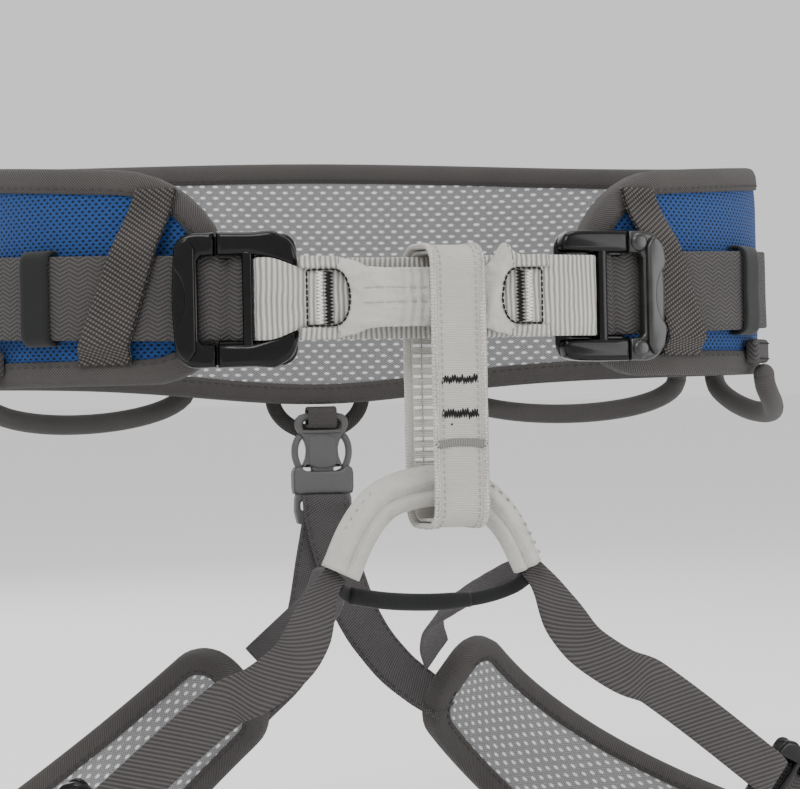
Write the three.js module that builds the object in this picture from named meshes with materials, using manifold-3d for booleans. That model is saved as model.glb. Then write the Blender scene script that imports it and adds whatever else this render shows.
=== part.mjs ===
// Climbing harness: a padded waist belt with two double-back buckles, a tie-in bridge with a belay loop,
// and two leg loops hung from a lower bridge in front and from two riser straps behind.
//
// Units are millimetres. +Z is up, the front faces -Y, and +X is the wearer's left. The origin is the middle
// of the waist opening, at the height of the belt buckles.
//
// Sewn pieces are first drawn flat, as x along a loop round the body, y outwards through the layers and z
// up, and are then wrapped round that loop.

import * as THREE from 'three';
import { mergeVertices } from 'three/addons/utils/BufferGeometryUtils.js';
import Module from 'manifold-3d';

const wasm = await Module();
wasm.setup();

// Shared by every sewn piece
const STEP = 12; // between the stations where a wrapped piece bends
const ROUND_STEPS = 5; // stations round a rounded corner
const GAP = 0.35; // between neighbouring pieces

// Waist belt
const WAIST_HALF_WIDTH = 146;
const WAIST_HALF_DEPTH = 101;
const WAIST_SQUARENESS = 2.4;
const PAD_SHIFT = 5; // the pad is worn this far round towards the wearer's left
const PAD_FRONT_GAP = 60; // from the front centre to each end of the pad
const BINDING_WIDTH = 8.6;
const WAIST_LAYERS = { lining: [0, 2], foam: [2.3, 8.3], shell: [8.6, 10], binding: [-0.5, 10.5] };
const WAIST_STRAP_BASE = 10.9;
const WEBBING_WIDTH = 29;
const WEBBING_THICKNESS = 2;
const WEBBING_RISE = 12; // how much higher the webbing runs at the back than at the front
const TAPE_WIDTH = 14;
const TAPE_THICKNESS = 1.1;
const TAPE_CLEARANCE = 5.2; // under a diagonal tape, for the webbing and its tail
const TAPE_FROM_END = 34; // from the pad's end to the middle of a diagonal tape
const TAPE_LEAN = 0.31;
const TAIL_LENGTH = 84;
const KEEPER_FROM_BUCKLE = 68;

// Double-back buckles, at the size of the waist belt's
const BUCKLE_FROM_CENTRE = 65.5;
const BUCKLE_HEIGHT = 44;

// Tie-in bridge and belay loop
const TIE_IN_WIDTH = 28;
const TIE_IN_THICKNESS = 1.8;
const SLEEVE_HALF_LENGTH = 43.5;
const SLEEVE_THICKNESS = 1.5;
const BELAY_WIDTH = 21.5;
const BELAY_X = 7;
const BELAY_TOP = 17.6;
const BELAY_BOTTOM = -78.5;
const BELAY_FRONT = -127.6;
const BELAY_BACK = -104.8;
const BELAY_CORNER = 5;
const BELAY_OUTER = { inset: 0, thickness: 1.5, width: BELAY_WIDTH };
const BELAY_INNER = { inset: 1.8, thickness: 1.3, width: BELAY_WIDTH - 5 };
const BELAY_TWIST = 5; // the rear strand hangs this far to the wearer's right of the front one

// Lower bridge
const BRIDGE_Y = -116;
const BRIDGE_END = { x: 33, z: -93 };
const BRIDGE_SLEEVE = { radius: 5.4, hole: 4.2 };
const BRIDGE_CORE = { width: 6.2, thickness: 2.4 };
const ELASTIC_BEHIND = 6; // from the bridge to the elastic between the leg loops
const ELASTIC_RADIUS = 1.7;
const ELASTIC_SLEEVE = { radius: 3, hole: 2.1 };

// Leg loops
const LEG_HALF_WIDTH = 76;
const LEG_HALF_DEPTH = 86;
const LEG_CENTRE = new THREE.Vector3(92, -28, -172);
const LEG_OUTWARD_TILT = THREE.MathUtils.degToRad(40);
const LEG_REARWARD_TILT = THREE.MathUtils.degToRad(-14);
const LEG_LAYERS = { lining: [0, 2], foam: [2.3, 7.3], shell: [7.6, 8.8], binding: [-0.5, 9.3] };
const LEG_STRAP_BASE = 9.7;
const LEG_BUCKLE_SCALE = 0.7;
const LEG_BUCKLE_AT = 92; // along the loop, from the outer side towards the front
const LEG_STRAP_WIDTH = 20;
const LEG_TAIL_LENGTH = 62;
const LEG_WEBBING_END = -120; // along the loop, where the webbing's sewn end is

// Gear loops and their tabs
const GEAR_LOOPS = [
  { place: 'rear', from: 55, to: 150 },
  { place: 'side', from: 170, to: 258 },
];
const GEAR_TOP = -28.2; // height of a gear loop's ends
const GEAR_DROP = 14.8; // from its ends to its lowest point
const GEAR_RADIUS = 4.2;
const GEAR_OUT = 4.6; // from the belt to the middle of the tube
const GEAR_TAB = { width: 14, depth: 5, height: 9, middle: -19.5 };

// Rear buckle
const REAR_Y = WAIST_HALF_DEPTH + 4;
const REAR_TONGUE_THICKNESS = 3;
const REAR_SOCKET_THICKNESS = 6.5;
const REAR_ARM = { width: 1.8, depth: 3 };
const REAR_STRAP_WIDTH = 13;
const HAUL_LOOP = { half: 19.5, top: -21, bow: -33, drop: 16, width: 6.5, thickness: 2.5 };

const SLATE = { color: 0x5f5a58, roughness: 0.85, metalness: 0 };
const WEBBING_GREY = { color: 0x6e6969, roughness: 0.8, metalness: 0 };
const BLUE_MESH = { color: 0x3560a8, roughness: 0.8, metalness: 0 };
const SILVER_MESH = { color: 0x9a9a9c, roughness: 0.85, metalness: 0 };
const PALE_WEBBING = { color: 0xc9c6c0, roughness: 0.75, metalness: 0 };
const FOAM = { color: 0x3a3a3c, roughness: 0.95, metalness: 0 };
const BLACK_METAL = { color: 0x151515, roughness: 0.25, metalness: 0.6 };
const GREY_PLASTIC = { color: 0x5a5858, roughness: 0.5, metalness: 0 };
const MOULDED = { color: 0x4a4746, roughness: 0.6, metalness: 0 };
const BLACK_ELASTIC = { color: 0x323434, roughness: 0.9, metalness: 0 };

const vec = (x, y) => new THREE.Vector2(x, y);

// ---- Geometry helpers ----

// A closed loop round the body, starting at startAngle from +Y towards +X and going clockwise, seen
// from above.
class BodyLoop extends THREE.Curve {
  constructor(halfWidth, halfDepth, squareness, startAngle) {
    super();
    Object.assign(this, { halfWidth, halfDepth, startAngle, power: 2 / squareness });
    this.arcLengthDivisions = 720;
  }

  getPoint(t, target = new THREE.Vector3()) {
    const angle = this.startAngle + 2 * Math.PI * t;
    const round = (v) => Math.sign(v) * Math.abs(v) ** this.power;
    return target.set(this.halfWidth * round(Math.sin(angle)), this.halfDepth * round(Math.cos(angle)), 0);
  }
}

// Turns a distance along a loop, an outward distance and a height into a point.
function surfaceOf(curve, shift = 0) {
  const length = curve.getLength();
  return (s, d, h) => {
    const u = ((((s + shift) / length) % 1) + 1) % 1;
    const tangent = curve.getTangentAt(u);
    const outward = new THREE.Vector3(-tangent.y, tangent.x, 0);
    return curve.getPointAt(u).addScaledVector(outward, d).setZ(h);
  };
}

// Moves every vertex of a geometry to place(x, y, z).
function bend(geometry, place) {
  const position = geometry.getAttribute('position');
  for (let i = 0; i < position.count; i++) {
    const point = place(position.getX(i), position.getY(i), position.getZ(i));
    position.setXYZ(i, point.x, point.y, point.z);
  }
  return geometry;
}

// The mirror image in x, with its faces still pointing out.
function mirrored(geometry) {
  const copy = geometry.index ? geometry.toNonIndexed() : geometry.clone();
  const position = copy.getAttribute('position');
  for (let i = 0; i < position.count; i += 3) {
    const corners = [0, 2, 1].map((k) => new THREE.Vector3().fromBufferAttribute(position, i + k));
    corners.forEach((corner, k) => position.setXYZ(i + k, -corner.x, corner.y, corner.z));
  }
  return copy;
}

const sided = (geometry, side) => (side > 0 ? geometry : mirrored(geometry));

function extrude(shape, depth) {
  return new THREE.ExtrudeGeometry(shape, { depth, bevelEnabled: false, curveSegments: 3 });
}

// Turns what is drawn in x and y to stand in x and z.
const upright = (geometry) => geometry.rotateX(Math.PI / 2);

// A plate drawn in x and z, from y = back towards the front, -Y.
function plate(shape, back, thickness) {
  return upright(extrude(shape, thickness)).translate(0, back, 0);
}

// The points of a path moved sideways, to its left, by this distance.
function offsetPath(points, distance, closed = false) {
  const last = points.length - 1;
  return points.map((point, i) => {
    const before = i > 0 ? points[i - 1] : closed ? points[last] : null;
    const after = i < last ? points[i + 1] : closed ? points[0] : null;
    const normal = (from, to) => vec(from.y - to.y, to.x - from.x).normalize();
    const first = normal(before ?? point, before ? point : after);
    const second = normal(after ? point : before, after ?? point);
    const middle = first.clone().add(second).normalize();
    return point.clone().addScaledVector(middle, distance / middle.dot(first));
  });
}

// A strap on edge: its middle follows the points in x and y, and its width is centred in z.
function strap(points, thickness, width) {
  const last = points.length - 1;
  const faces = [offsetPath(points, -thickness / 2), offsetPath(points, thickness / 2)];
  return bend(new THREE.BoxGeometry(1, 1, width, last, 1, 1), (x, y, z) => {
    const point = faces[y < 0 ? 0 : 1][Math.round((x + 0.5) * last)];
    return new THREE.Vector3(point.x, point.y, z);
  });
}

// The same strap as a closed ring.
function strapRing(points, thickness, width) {
  const rings = [-1, 1].map((sign) => offsetPath(points, (sign * thickness) / 2, true));
  const size = (ring) => Math.abs(THREE.ShapeUtils.area(ring));
  rings.sort((a, b) => size(b) - size(a));
  const shape = new THREE.Shape(rings[0]);
  shape.holes.push(new THREE.Path(rings[1]));
  return extrude(shape, width).translate(0, 0, -width / 2);
}

function roundedBox(x0, y0, x1, y1, radius, kind = THREE.Shape) {
  const shape = new kind();
  shape.moveTo(x0 + radius, y0);
  shape.lineTo(x1 - radius, y0).absarc(x1 - radius, y0 + radius, radius, -Math.PI / 2, 0);
  shape.lineTo(x1, y1 - radius).absarc(x1 - radius, y1 - radius, radius, 0, Math.PI / 2);
  shape.lineTo(x0 + radius, y1).absarc(x0 + radius, y1 - radius, radius, Math.PI / 2, Math.PI);
  shape.lineTo(x0, y0 + radius).absarc(x0 + radius, y0 + radius, radius, Math.PI, 1.5 * Math.PI);
  return shape;
}

function arc(centreX, centreY, radius, from, to, steps) {
  return Array.from({ length: steps + 1 }, (_, i) => {
    const angle = THREE.MathUtils.degToRad(from + ((to - from) * i) / steps);
    return vec(centreX + radius * Math.cos(angle), centreY + radius * Math.sin(angle));
  });
}

function stationsBetween(from, to) {
  const list = [];
  const high = Math.max(from, to);
  for (let i = Math.ceil((Math.min(from, to) + 1) / STEP); i * STEP < high - 1; i++) list.push(i * STEP);
  return from < to ? list : list.reverse();
}

function solid(geometry) {
  const bare = geometry.clone().deleteAttribute('normal').deleteAttribute('uv');
  const merged = mergeVertices(bare, 1e-4);
  return new wasm.Manifold(
    new wasm.Mesh({
      numProp: 3,
      vertProperties: new Float32Array(merged.getAttribute('position').array),
      triVerts: new Uint32Array(merged.index.array),
    }),
  );
}

function geometryOf(manifold) {
  const { vertProperties, triVerts } = manifold.getMesh();
  const geometry = new THREE.BufferGeometry();
  geometry.setAttribute('position', new THREE.BufferAttribute(new Float32Array(vertProperties), 3));
  geometry.setIndex(new THREE.BufferAttribute(new Uint32Array(triVerts), 1));
  return geometry;
}

// ---- Flat pieces: x along the loop, y outwards, z up ----

function panel(stations, low, high, inner, outer) {
  const last = stations.length - 1;
  return bend(new THREE.BoxGeometry(1, 1, 1, last, 1, 1), (x, y, z) => {
    const s = stations[Math.round((x + 0.5) * last)];
    return new THREE.Vector3(s, y < 0 ? inner : outer, z < 0 ? low(s) : high(s));
  });
}

// A pad's outline, drawn in by inset, with rounded corners.
function padEdge(pad, inset) {
  const start = pad.start + inset;
  const end = pad.end - inset;
  const cut = (s, radius) => {
    const r = radius - inset;
    const t = Math.max(0, Math.min(s - start, end - s));
    return t >= r ? 0 : r - Math.sqrt(r * r - (r - t) ** 2);
  };
  const reach = Math.max(pad.upperRound, pad.lowerRound) - inset;
  const corner = Array.from({ length: ROUND_STEPS + 1 }, (_, i) => {
    return reach * (1 - Math.cos((Math.PI / 2) * (i / ROUND_STEPS)));
  });
  return {
    high: (s) => pad.high(s) - inset - cut(s, pad.upperRound),
    low: (s) => pad.low(s) + inset + cut(s, pad.lowerRound),
    stations: [
      ...corner.map((t) => start + t),
      ...stationsBetween(start + reach, end - reach),
      ...corner.map((t) => end - t).reverse(),
    ],
  };
}

function padLayer(pad, [inner, outer]) {
  const edge = padEdge(pad, BINDING_WIDTH + GAP);
  return panel(edge.stations, edge.low, edge.high, inner, outer);
}

// A closed rim of rectangular section between the pad's outline and the same outline drawn in.
function padBinding(pad, [inner, outer]) {
  const outline = (inset) => {
    const edge = padEdge(pad, inset);
    const bottom = edge.stations.map((s) => vec(s, edge.low(s)));
    const top = edge.stations.map((s) => vec(s, edge.high(s)));
    return [...bottom, ...top.reverse()];
  };
  const outside = outline(0);
  const inside = outline(BINDING_WIDTH);
  const corners = [[outside, outer], [outside, inner], [inside, inner], [inside, outer]];
  const count = outside.length;
  const geometry = new THREE.TorusGeometry(1, 0.5, corners.length, count);
  const position = geometry.getAttribute('position');
  for (let i = 0; i < position.count; i++) {
    const [line, d] = corners[Math.floor(i / (count + 1)) % corners.length];
    const point = line[(i % (count + 1)) % count];
    position.setXYZ(i, point.x, d, point.y);
  }
  return geometry;
}

// The strap's path at a buckle, from the tip of its tail, round the buckle's bar and back under the frame.
// The buckle is towards rising s, at scale k.
function doubledBack(buckle, k, base, tail) {
  const tailLevel = base + 3.4 * k;
  const tip = buckle - tail;
  const slopeEnd = buckle - 9 * k;
  return [
    vec(tip, tailLevel),
    ...stationsBetween(tip, slopeEnd).map((s) => vec(s, tailLevel)),
    vec(slopeEnd, tailLevel),
    vec(buckle - k, base + 5.2 * k),
    ...arc(buckle + 4.4 * k, base + 3.1 * k, 2.1 * k, 90, -90, 4),
  ];
}

// ---- Buckles: x away from the front centre, -y outwards, z up, drawn at the waist belt's size ----

const FRAME_BACK = 2.5;
const FRAME_FRONT = 8.5;

function buckleFrame() {
  const half = BUCKLE_HEIGHT / 2;
  const shape = roundedBox(-20.5, -half, 5.5, half, 3.5);
  const slot = new THREE.Path([vec(-13.4, -15.8), vec(4, -15.8), vec(4, 15.8), vec(-13.4, 15.8)]);
  shape.holes.push(slot);
  const ring = plate(shape, -FRAME_BACK, FRAME_FRONT - FRAME_BACK);
  const opening = new THREE.BoxGeometry(4, 4.2, 31.6).translate(4.5, -FRAME_BACK - 1.8, 0);
  const bar = new THREE.BoxGeometry(5.5, 2.5, 34).translate(-5.25, -7.85, 0);
  return geometryOf(solid(ring).subtract(solid(opening)).add(solid(bar)));
}

function buckleLever() {
  const half = BUCKLE_HEIGHT / 2;
  const shape = new THREE.Shape();
  shape.moveTo(8.3, -half + 1).lineTo(14, -half + 0.5);
  shape.quadraticCurveTo(19, -half + 4, 20.5, 0).quadraticCurveTo(19, half - 4, 14, half - 0.5);
  shape.lineTo(8.3, half - 1).lineTo(8.3, -half + 1);
  return plate(shape, -5.7, 4.4);
}

// ---- The harness ----

const harness = new THREE.Group();

function add(parent, name, geometry, finish) {
  const node = new THREE.Mesh(geometry, new THREE.MeshStandardMaterial(finish));
  node.name = name;
  parent.add(node);
}

const SIDES = [
  { side: 1, name: 'left' },
  { side: -1, name: 'right' },
];

// Waist belt

const waistLoop = new BodyLoop(WAIST_HALF_WIDTH, WAIST_HALF_DEPTH, WAIST_SQUARENESS, 0);
const onWaist = surfaceOf(waistLoop, PAD_SHIFT);
const halfWaist = waistLoop.getLength() / 2;
const backness = (s) => (1 + Math.cos((Math.PI * s) / halfWaist)) / 2;
const webbingHeight = (s) => WEBBING_RISE * backness(s);
const wrapWaist = (geometry, lift = () => 0) => bend(geometry, (s, d, h) => onWaist(s, d, h + lift(s)));

const waistPad = {
  start: -(halfWaist - PAD_FRONT_GAP),
  end: halfWaist - PAD_FRONT_GAP,
  high: (s) => 42.5 + 25.5 * backness(s),
  low: (s) => -28 - 8.5 * Math.exp(-((s / 70) ** 2)),
  upperRound: 36,
  lowerRound: 27,
};

// The belt's own distance s, on this side, where it is x away from the middle at an outward distance d.
function waistStation(side, x, d) {
  let low = halfWaist * 0.7;
  let high = halfWaist;
  for (let i = 0; i < 40; i++) {
    const middle = (low + high) / 2;
    if (side * onWaist(side * middle - PAD_SHIFT, d, 0).x > x) low = middle;
    else high = middle;
  }
  return side * low - PAD_SHIFT;
}

function addWaistPad() {
  add(harness, 'waist_lining', wrapWaist(padLayer(waistPad, WAIST_LAYERS.lining)), SILVER_MESH);
  add(harness, 'waist_foam', wrapWaist(padLayer(waistPad, WAIST_LAYERS.foam)), FOAM);
  add(harness, 'waist_shell', wrapWaist(padLayer(waistPad, WAIST_LAYERS.shell)), BLUE_MESH);
  add(harness, 'waist_binding', wrapWaist(padBinding(waistPad, WAIST_LAYERS.binding)), SLATE);
}

const BUCKLE_OUT = 15; // from the belt's inside to the level where the buckles' spacing is measured
const buckleStation = Object.fromEntries(
  SIDES.map(({ side }) => [side, waistStation(side, BUCKLE_FROM_CENTRE, BUCKLE_OUT)]),
);

function addWaistWebbing() {
  const end = (side) => {
    const path = doubledBack(side * buckleStation[side], 1, WAIST_STRAP_BASE, TAIL_LENGTH);
    return path.map((point) => vec(side * point.x, point.y));
  };
  const left = end(1);
  const right = end(-1);
  const level = WAIST_STRAP_BASE + WEBBING_THICKNESS / 2;
  const sewn = stationsBetween(right.at(-1).x, left.at(-1).x).map((s) => vec(s, level));
  const flat = strap([...right, ...sewn, ...left.reverse()], WEBBING_THICKNESS, WEBBING_WIDTH);
  add(harness, 'waist_webbing', wrapWaist(flat, webbingHeight), WEBBING_GREY);
}

// A tape sewn across the webbing as a tunnel, leaning back towards its foot.
function diagonalTape(middle) {
  const over = WAIST_STRAP_BASE + TAPE_CLEARANCE;
  const on = WAIST_STRAP_BASE;
  const half = WEBBING_WIDTH / 2 + 0.7;
  const lift = webbingHeight(middle);
  const top = waistPad.high(middle) - BINDING_WIDTH - 2 * GAP;
  const bottom = waistPad.low(middle) + BINDING_WIDTH + 2 * GAP;
  const rungs = [
    [bottom, on],
    [lift - half - 2.5, on],
    [lift - half, over],
    [lift + half, over],
    [lift + half + 2.5, on],
    [top, on],
  ];
  return bend(new THREE.BoxGeometry(1, 1, 1, 2, 1, rungs.length - 1), (x, y, z) => {
    const [h, d] = rungs[Math.round((z + 0.5) * (rungs.length - 1))];
    const s = middle + TAPE_LEAN * (h - lift) + x * TAPE_WIDTH;
    return new THREE.Vector3(s, d + (y < 0 ? 0 : TAPE_THICKNESS), h);
  });
}

// An elastic loop over the webbing and its tail.
function tailKeeper(middle) {
  const inner = WEBBING_WIDTH / 2 + 0.6;
  const outer = inner + 1.4;
  const base = WAIST_STRAP_BASE;
  const shape = new THREE.Shape([
    vec(-outer, base), vec(-inner, base), vec(-inner, base + 5), vec(inner, base + 5),
    vec(inner, base), vec(outer, base), vec(outer, base + 6.2), vec(-outer, base + 6.2),
  ]);
  return bend(extrude(shape, STEP), (x, y, z) => new THREE.Vector3(middle + z - STEP / 2, y, -x));
}

function addWaistTrim() {
  for (const { side, name } of SIDES) {
    const tape = sided(diagonalTape(waistPad.end - TAPE_FROM_END), side);
    add(harness, `diagonal_tape_${name}`, wrapWaist(tape), SLATE);
    const wanted = side * buckleStation[side] - KEEPER_FROM_BUCKLE;
    const middle = Math.round(wanted / STEP + 0.5) * STEP - STEP / 2; // between two stations
    const keeper = sided(tailKeeper(middle), side);
    add(harness, `tail_keeper_${name}`, wrapWaist(keeper, webbingHeight), BLACK_ELASTIC);
  }
}

// A group whose own -y points out of the belt at a buckle.
function buckleMount(surface, station, k, base) {
  const foot = surface(station, base, 0);
  const outward = surface(station, base + 1, 0).sub(foot);
  const mount = new THREE.Group();
  mount.position.copy(foot);
  mount.rotation.z = Math.atan2(outward.x, -outward.y);
  mount.scale.setScalar(k);
  return mount;
}

function addBuckle(parent, mount, prefix, name, side) {
  parent.add(mount);
  add(mount, `${prefix}_buckle_frame_${name}`, sided(buckleFrame(), side), BLACK_METAL);
  add(mount, `${prefix}_buckle_lever_${name}`, sided(buckleLever(), side), BLACK_METAL);
}

const waistMounts = SIDES.map(({ side, name }) => {
  const mount = buckleMount(onWaist, buckleStation[side], 1, WAIST_STRAP_BASE);
  addBuckle(harness, mount, 'waist', name, side);
  return mount;
});

// A buckle's x and outward distance as a point of the harness.
function fromBuckle(mount, x, d) {
  mount.updateWorldMatrix(true, false);
  return mount.localToWorld(new THREE.Vector3(x, -d, 0));
}

function addTieIn() {
  const end = [[-20.5, 9.8], [-13, 9.8], [-11.6, 8.6], [-11.4, 5.5], [-11.6, 2.4], [-13, 1.3], [-20.5, 1.3]];
  const left = end.map(([x, d]) => fromBuckle(waistMounts[0], x, d)).map((p) => vec(p.x, p.y));
  const right = left.map((p) => vec(-p.x, p.y)).reverse();
  const ring = strapRing([...left, ...right], TIE_IN_THICKNESS, TIE_IN_WIDTH);
  add(harness, 'tie_in_webbing', ring, PALE_WEBBING);

  const outline = [[SLEEVE_HALF_LENGTH, 14], [32, 14], [26, 13], [19, 10.2], [14, 10]];
  const quarter = (sx, sz) => outline.map(([x, z]) => vec(sx * x, sz * z));
  const shape = new THREE.Shape([
    ...quarter(1, 1), ...quarter(-1, 1).reverse(), ...quarter(-1, -1), ...quarter(1, -1).reverse(),
  ]);
  for (const { side } of SIDES) {
    const window = arc(31.5, 0, 1, -90, 90, 8).map((p) => vec(side * (31.5 - 5 * (p.x - 31.5)), 9.4 * p.y));
    const straight = [vec(side * 41, 9.4), vec(side * 41, -9.4)];
    shape.holes.push(new THREE.Path([...window, ...straight]));
  }
  const strapFront = left[0].y - TIE_IN_THICKNESS / 2;
  add(harness, 'tie_in_sleeve', plate(shape, strapFront - GAP, SLEEVE_THICKNESS), PALE_WEBBING);
}

function addBelayLoop() {
  const ring = ({ inset, thickness, width }) => {
    const box = (more, kind) => {
      const i = inset + more;
      const x = [BELAY_FRONT + i, BELAY_BACK - i];
      return roundedBox(x[0], BELAY_BOTTOM + i, x[1], BELAY_TOP - i, BELAY_CORNER - i, kind);
    };
    const shape = box(0, THREE.Shape);
    shape.holes.push(box(thickness, THREE.Path));
    return extrude(shape, width).translate(0, 0, -width / 2);
  };
  const twist = (y) => (BELAY_TWIST * (BELAY_FRONT - y)) / (BELAY_BACK - BELAY_FRONT);
  const stand = (geometry) => bend(geometry, (x, y, z) => new THREE.Vector3(BELAY_X + z + twist(x), x, y));
  add(harness, 'belay_loop_outer', stand(ring(BELAY_OUTER)), PALE_WEBBING);
  add(harness, 'belay_loop_inner', stand(ring(BELAY_INNER)), PALE_WEBBING);
}

// Lower bridge

const bridgeHeights = [[0, -64.5], [9, -65.6], [18, -69.3], [26, -78.5], [BRIDGE_END.x, BRIDGE_END.z]];
const bridgePoints = [...bridgeHeights.slice(1).reverse().map(([x, z]) => [-x, z]), ...bridgeHeights];

function addBridge() {
  const points = bridgePoints.map(([x, z]) => new THREE.Vector3(x, BRIDGE_Y, z));
  const middle = new THREE.CatmullRomCurve3(points);
  const shape = new THREE.Shape().absarc(0, 0, BRIDGE_SLEEVE.radius, 0, 2 * Math.PI);
  shape.holes.push(new THREE.Path().absarc(0, 0, BRIDGE_SLEEVE.hole, 0, 2 * Math.PI));
  const tube = new THREE.ExtrudeGeometry(shape, { steps: 14, extrudePath: middle, curveSegments: 6 });
  add(harness, 'leg_bridge_sleeve', tube, PALE_WEBBING);

  const path = middle.getSpacedPoints(16).map((p) => vec(p.x, p.z));
  const core = upright(strap(path, BRIDGE_CORE.thickness, BRIDGE_CORE.width));
  add(harness, 'leg_bridge_webbing', core.translate(0, BRIDGE_Y, 0), WEBBING_GREY);
}

function addElastic() {
  const y = BRIDGE_Y + ELASTIC_BEHIND;
  const tube = (radius, hole, points, steps) => {
    const shape = new THREE.Shape().absarc(0, 0, radius, 0, 2 * Math.PI);
    if (hole) shape.holes.push(new THREE.Path().absarc(0, 0, hole, 0, 2 * Math.PI));
    const extrudePath = new THREE.CatmullRomCurve3(points.map(([x, z]) => new THREE.Vector3(x, y, z)));
    return new THREE.ExtrudeGeometry(shape, { steps, extrudePath, curveSegments: 4 });
  };
  const route = [
    [-29, -101], [-18, -103.2], [-6, -104.4], [4, -104.6], [14, -104.2], [23, -102.6], [30, -101],
  ];
  add(harness, 'leg_elastic', tube(ELASTIC_RADIUS, 0, route, 12), BLACK_ELASTIC);
  const sleeve = [[-20, -102.9], [-6, -104.4], [4, -104.6], [14, -104.2]];
  const cover = tube(ELASTIC_SLEEVE.radius, ELASTIC_SLEEVE.hole, sleeve, 8);
  add(harness, 'leg_elastic_sleeve', cover, BLACK_ELASTIC);
}

// Rear buckle, risers and haul loop

function addShortStrap() {
  const shape = roundedBox(-4.8, -47, 4.8, -37.4, 1.5);
  shape.holes.push(roundedBox(-3.15, -45.3, 3.15, -39, 1, THREE.Path));
  const flat = extrude(shape, REAR_STRAP_WIDTH).translate(0, 0, -REAR_STRAP_WIDTH / 2);
  const place = (x, y, z) => new THREE.Vector3(PAD_SHIFT + z, REAR_Y + x, y);
  add(harness, 'rear_short_strap', bend(flat, place), WEBBING_GREY);
}

function rearPlate(shape, thickness) {
  return plate(shape, REAR_Y + thickness / 2, thickness).translate(PAD_SHIFT, 0, 0);
}

function addRearBuckle() {
  const half = [
    [9, -40.6], [12.2, -43.5], [12.2, -47.5], [9.2, -51], [6, -54], [5.5, -58], [7, -61.5], [7.6, -63.4],
    [5, -63.4], [5, -74],
  ];
  const male = new THREE.Shape([
    ...half.map(([x, z]) => vec(x, z)),
    ...half.map(([x, z]) => vec(-x, z)).reverse(),
  ]);
  male.holes.push(roundedBox(-8.2, -48.4, 8.2, -44.6, 1, THREE.Path));
  add(harness, 'rear_buckle_male', rearPlate(male, REAR_TONGUE_THICKNESS), GREY_PLASTIC);

  for (const { side, name } of SIDES) {
    const route = [[10.6, -52.2], [12, -55], [12, -59], [9.9, -63.5], [9.2, -71]];
    const path = route.map(([x, z]) => vec(side * x, z));
    const prong = upright(strap(path, REAR_ARM.width, REAR_ARM.depth)).translate(PAD_SHIFT, REAR_Y, 0);
    add(harness, `rear_buckle_prong_${name}`, prong, GREY_PLASTIC);
  }

  const body = roundedBox(-12.8, -89, 12.8, -64, 2.5);
  body.holes.push(roundedBox(-10.4, -82.5, 10.4, -78.5, 1, THREE.Path));
  const cavity = new THREE.BoxGeometry(22, 3.6, 13).translate(PAD_SHIFT, REAR_Y, -69.5);
  const female = solid(rearPlate(body, REAR_SOCKET_THICKNESS)).subtract(solid(cavity));
  add(harness, 'rear_buckle_female', geometryOf(female), GREY_PLASTIC);
}

// Each riser strap's middle, from the rear buckle down and forwards to a leg loop.
const RISER_ROUTE = [[0, 100, -84], [4, 91, -104], [11, 74, -128], [22, 57, -145], [35, 46, -156]];
const RISER = { width: 20, thickness: 1.8, steps: 8, apart: 2.9 };

function addRisers() {
  for (const { side, name } of SIDES) {
    const front = side > 0 ? RISER.apart : 0;
    const points = RISER_ROUTE.map(([x, y, z], i) => {
      const shift = PAD_SHIFT * (1 - i / (RISER_ROUTE.length - 1));
      return new THREE.Vector3(shift + side * x, y - front, z);
    });
    const middle = new THREE.CatmullRomCurve3(points);
    const flat = new THREE.BoxGeometry(RISER.width, RISER.thickness, 1, 1, 1, RISER.steps);
    const strap = bend(flat, (x, y, z) => {
      const t = z + 0.5;
      const along = middle.getTangentAt(t);
      const across = new THREE.Vector3(1, 0, 0).projectOnPlane(along).normalize();
      const face = new THREE.Vector3().crossVectors(along, across);
      return middle.getPointAt(t).addScaledVector(across, x).addScaledVector(face, y);
    });
    add(harness, `riser_${name}`, strap, SLATE);
  }
}

function addHaulLoop() {
  const { half, top, bow, drop, width, thickness } = HAUL_LOOP;
  const curve = arc(0, 0, 1, 0, -180, 8).map((p) => vec(half * p.x, drop * p.y + bow));
  const path = [vec(half, top), ...curve, vec(-half, top)];
  const out = WAIST_STRAP_BASE + GAP + thickness / 2;
  const flat = upright(strap(path, width, thickness)).translate(0, out, 0);
  add(harness, 'haul_loop', wrapWaist(flat), MOULDED);
}

// Gear loops

function addGearLoops() {
  for (const { side, name } of SIDES) {
    for (const { place, from, to } of GEAR_LOOPS) {
      const half = (to - from) / 2;
      const points = arc(0, 0, 1, 0, -180, 12).map((p) => {
        const s = side * (from + half * (1 + p.x));
        return onWaist(s, WAIST_STRAP_BASE + GEAR_OUT, GEAR_TOP + GEAR_DROP * p.y);
      });
      const extrudePath = new THREE.CatmullRomCurve3(points);
      const section = new THREE.Shape().absarc(0, 0, GEAR_RADIUS, 0, 2 * Math.PI);
      const tube = new THREE.ExtrudeGeometry(section, { steps: 16, extrudePath, curveSegments: 4 });
      add(harness, `gear_loop_${place}_${name}`, tube, MOULDED);
      for (const [end, s] of [['rear', from], ['front', to]]) {
        const tab = new THREE.BoxGeometry(GEAR_TAB.width, GEAR_TAB.depth, GEAR_TAB.height);
        tab.translate(s, WAIST_STRAP_BASE + GEAR_TAB.depth / 2, GEAR_TAB.middle);
        add(harness, `gear_tab_${place}_${end}_${name}`, wrapWaist(sided(tab, side)), SLATE);
      }
    }
  }
}

// Leg loops

const legLoop = new BodyLoop(LEG_HALF_WIDTH, LEG_HALF_DEPTH, 2, Math.PI / 2);
const onLeg = surfaceOf(legLoop);

const legPad = {
  start: -200,
  end: 62,
  high: (s) => 23 + 8 * Math.exp(-(((s + 60) / 80) ** 2)),
  low: (s) => -23 - 8 * Math.exp(-(((s + 60) / 80) ** 2)),
  upperRound: 18,
  lowerRound: 18,
};

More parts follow.
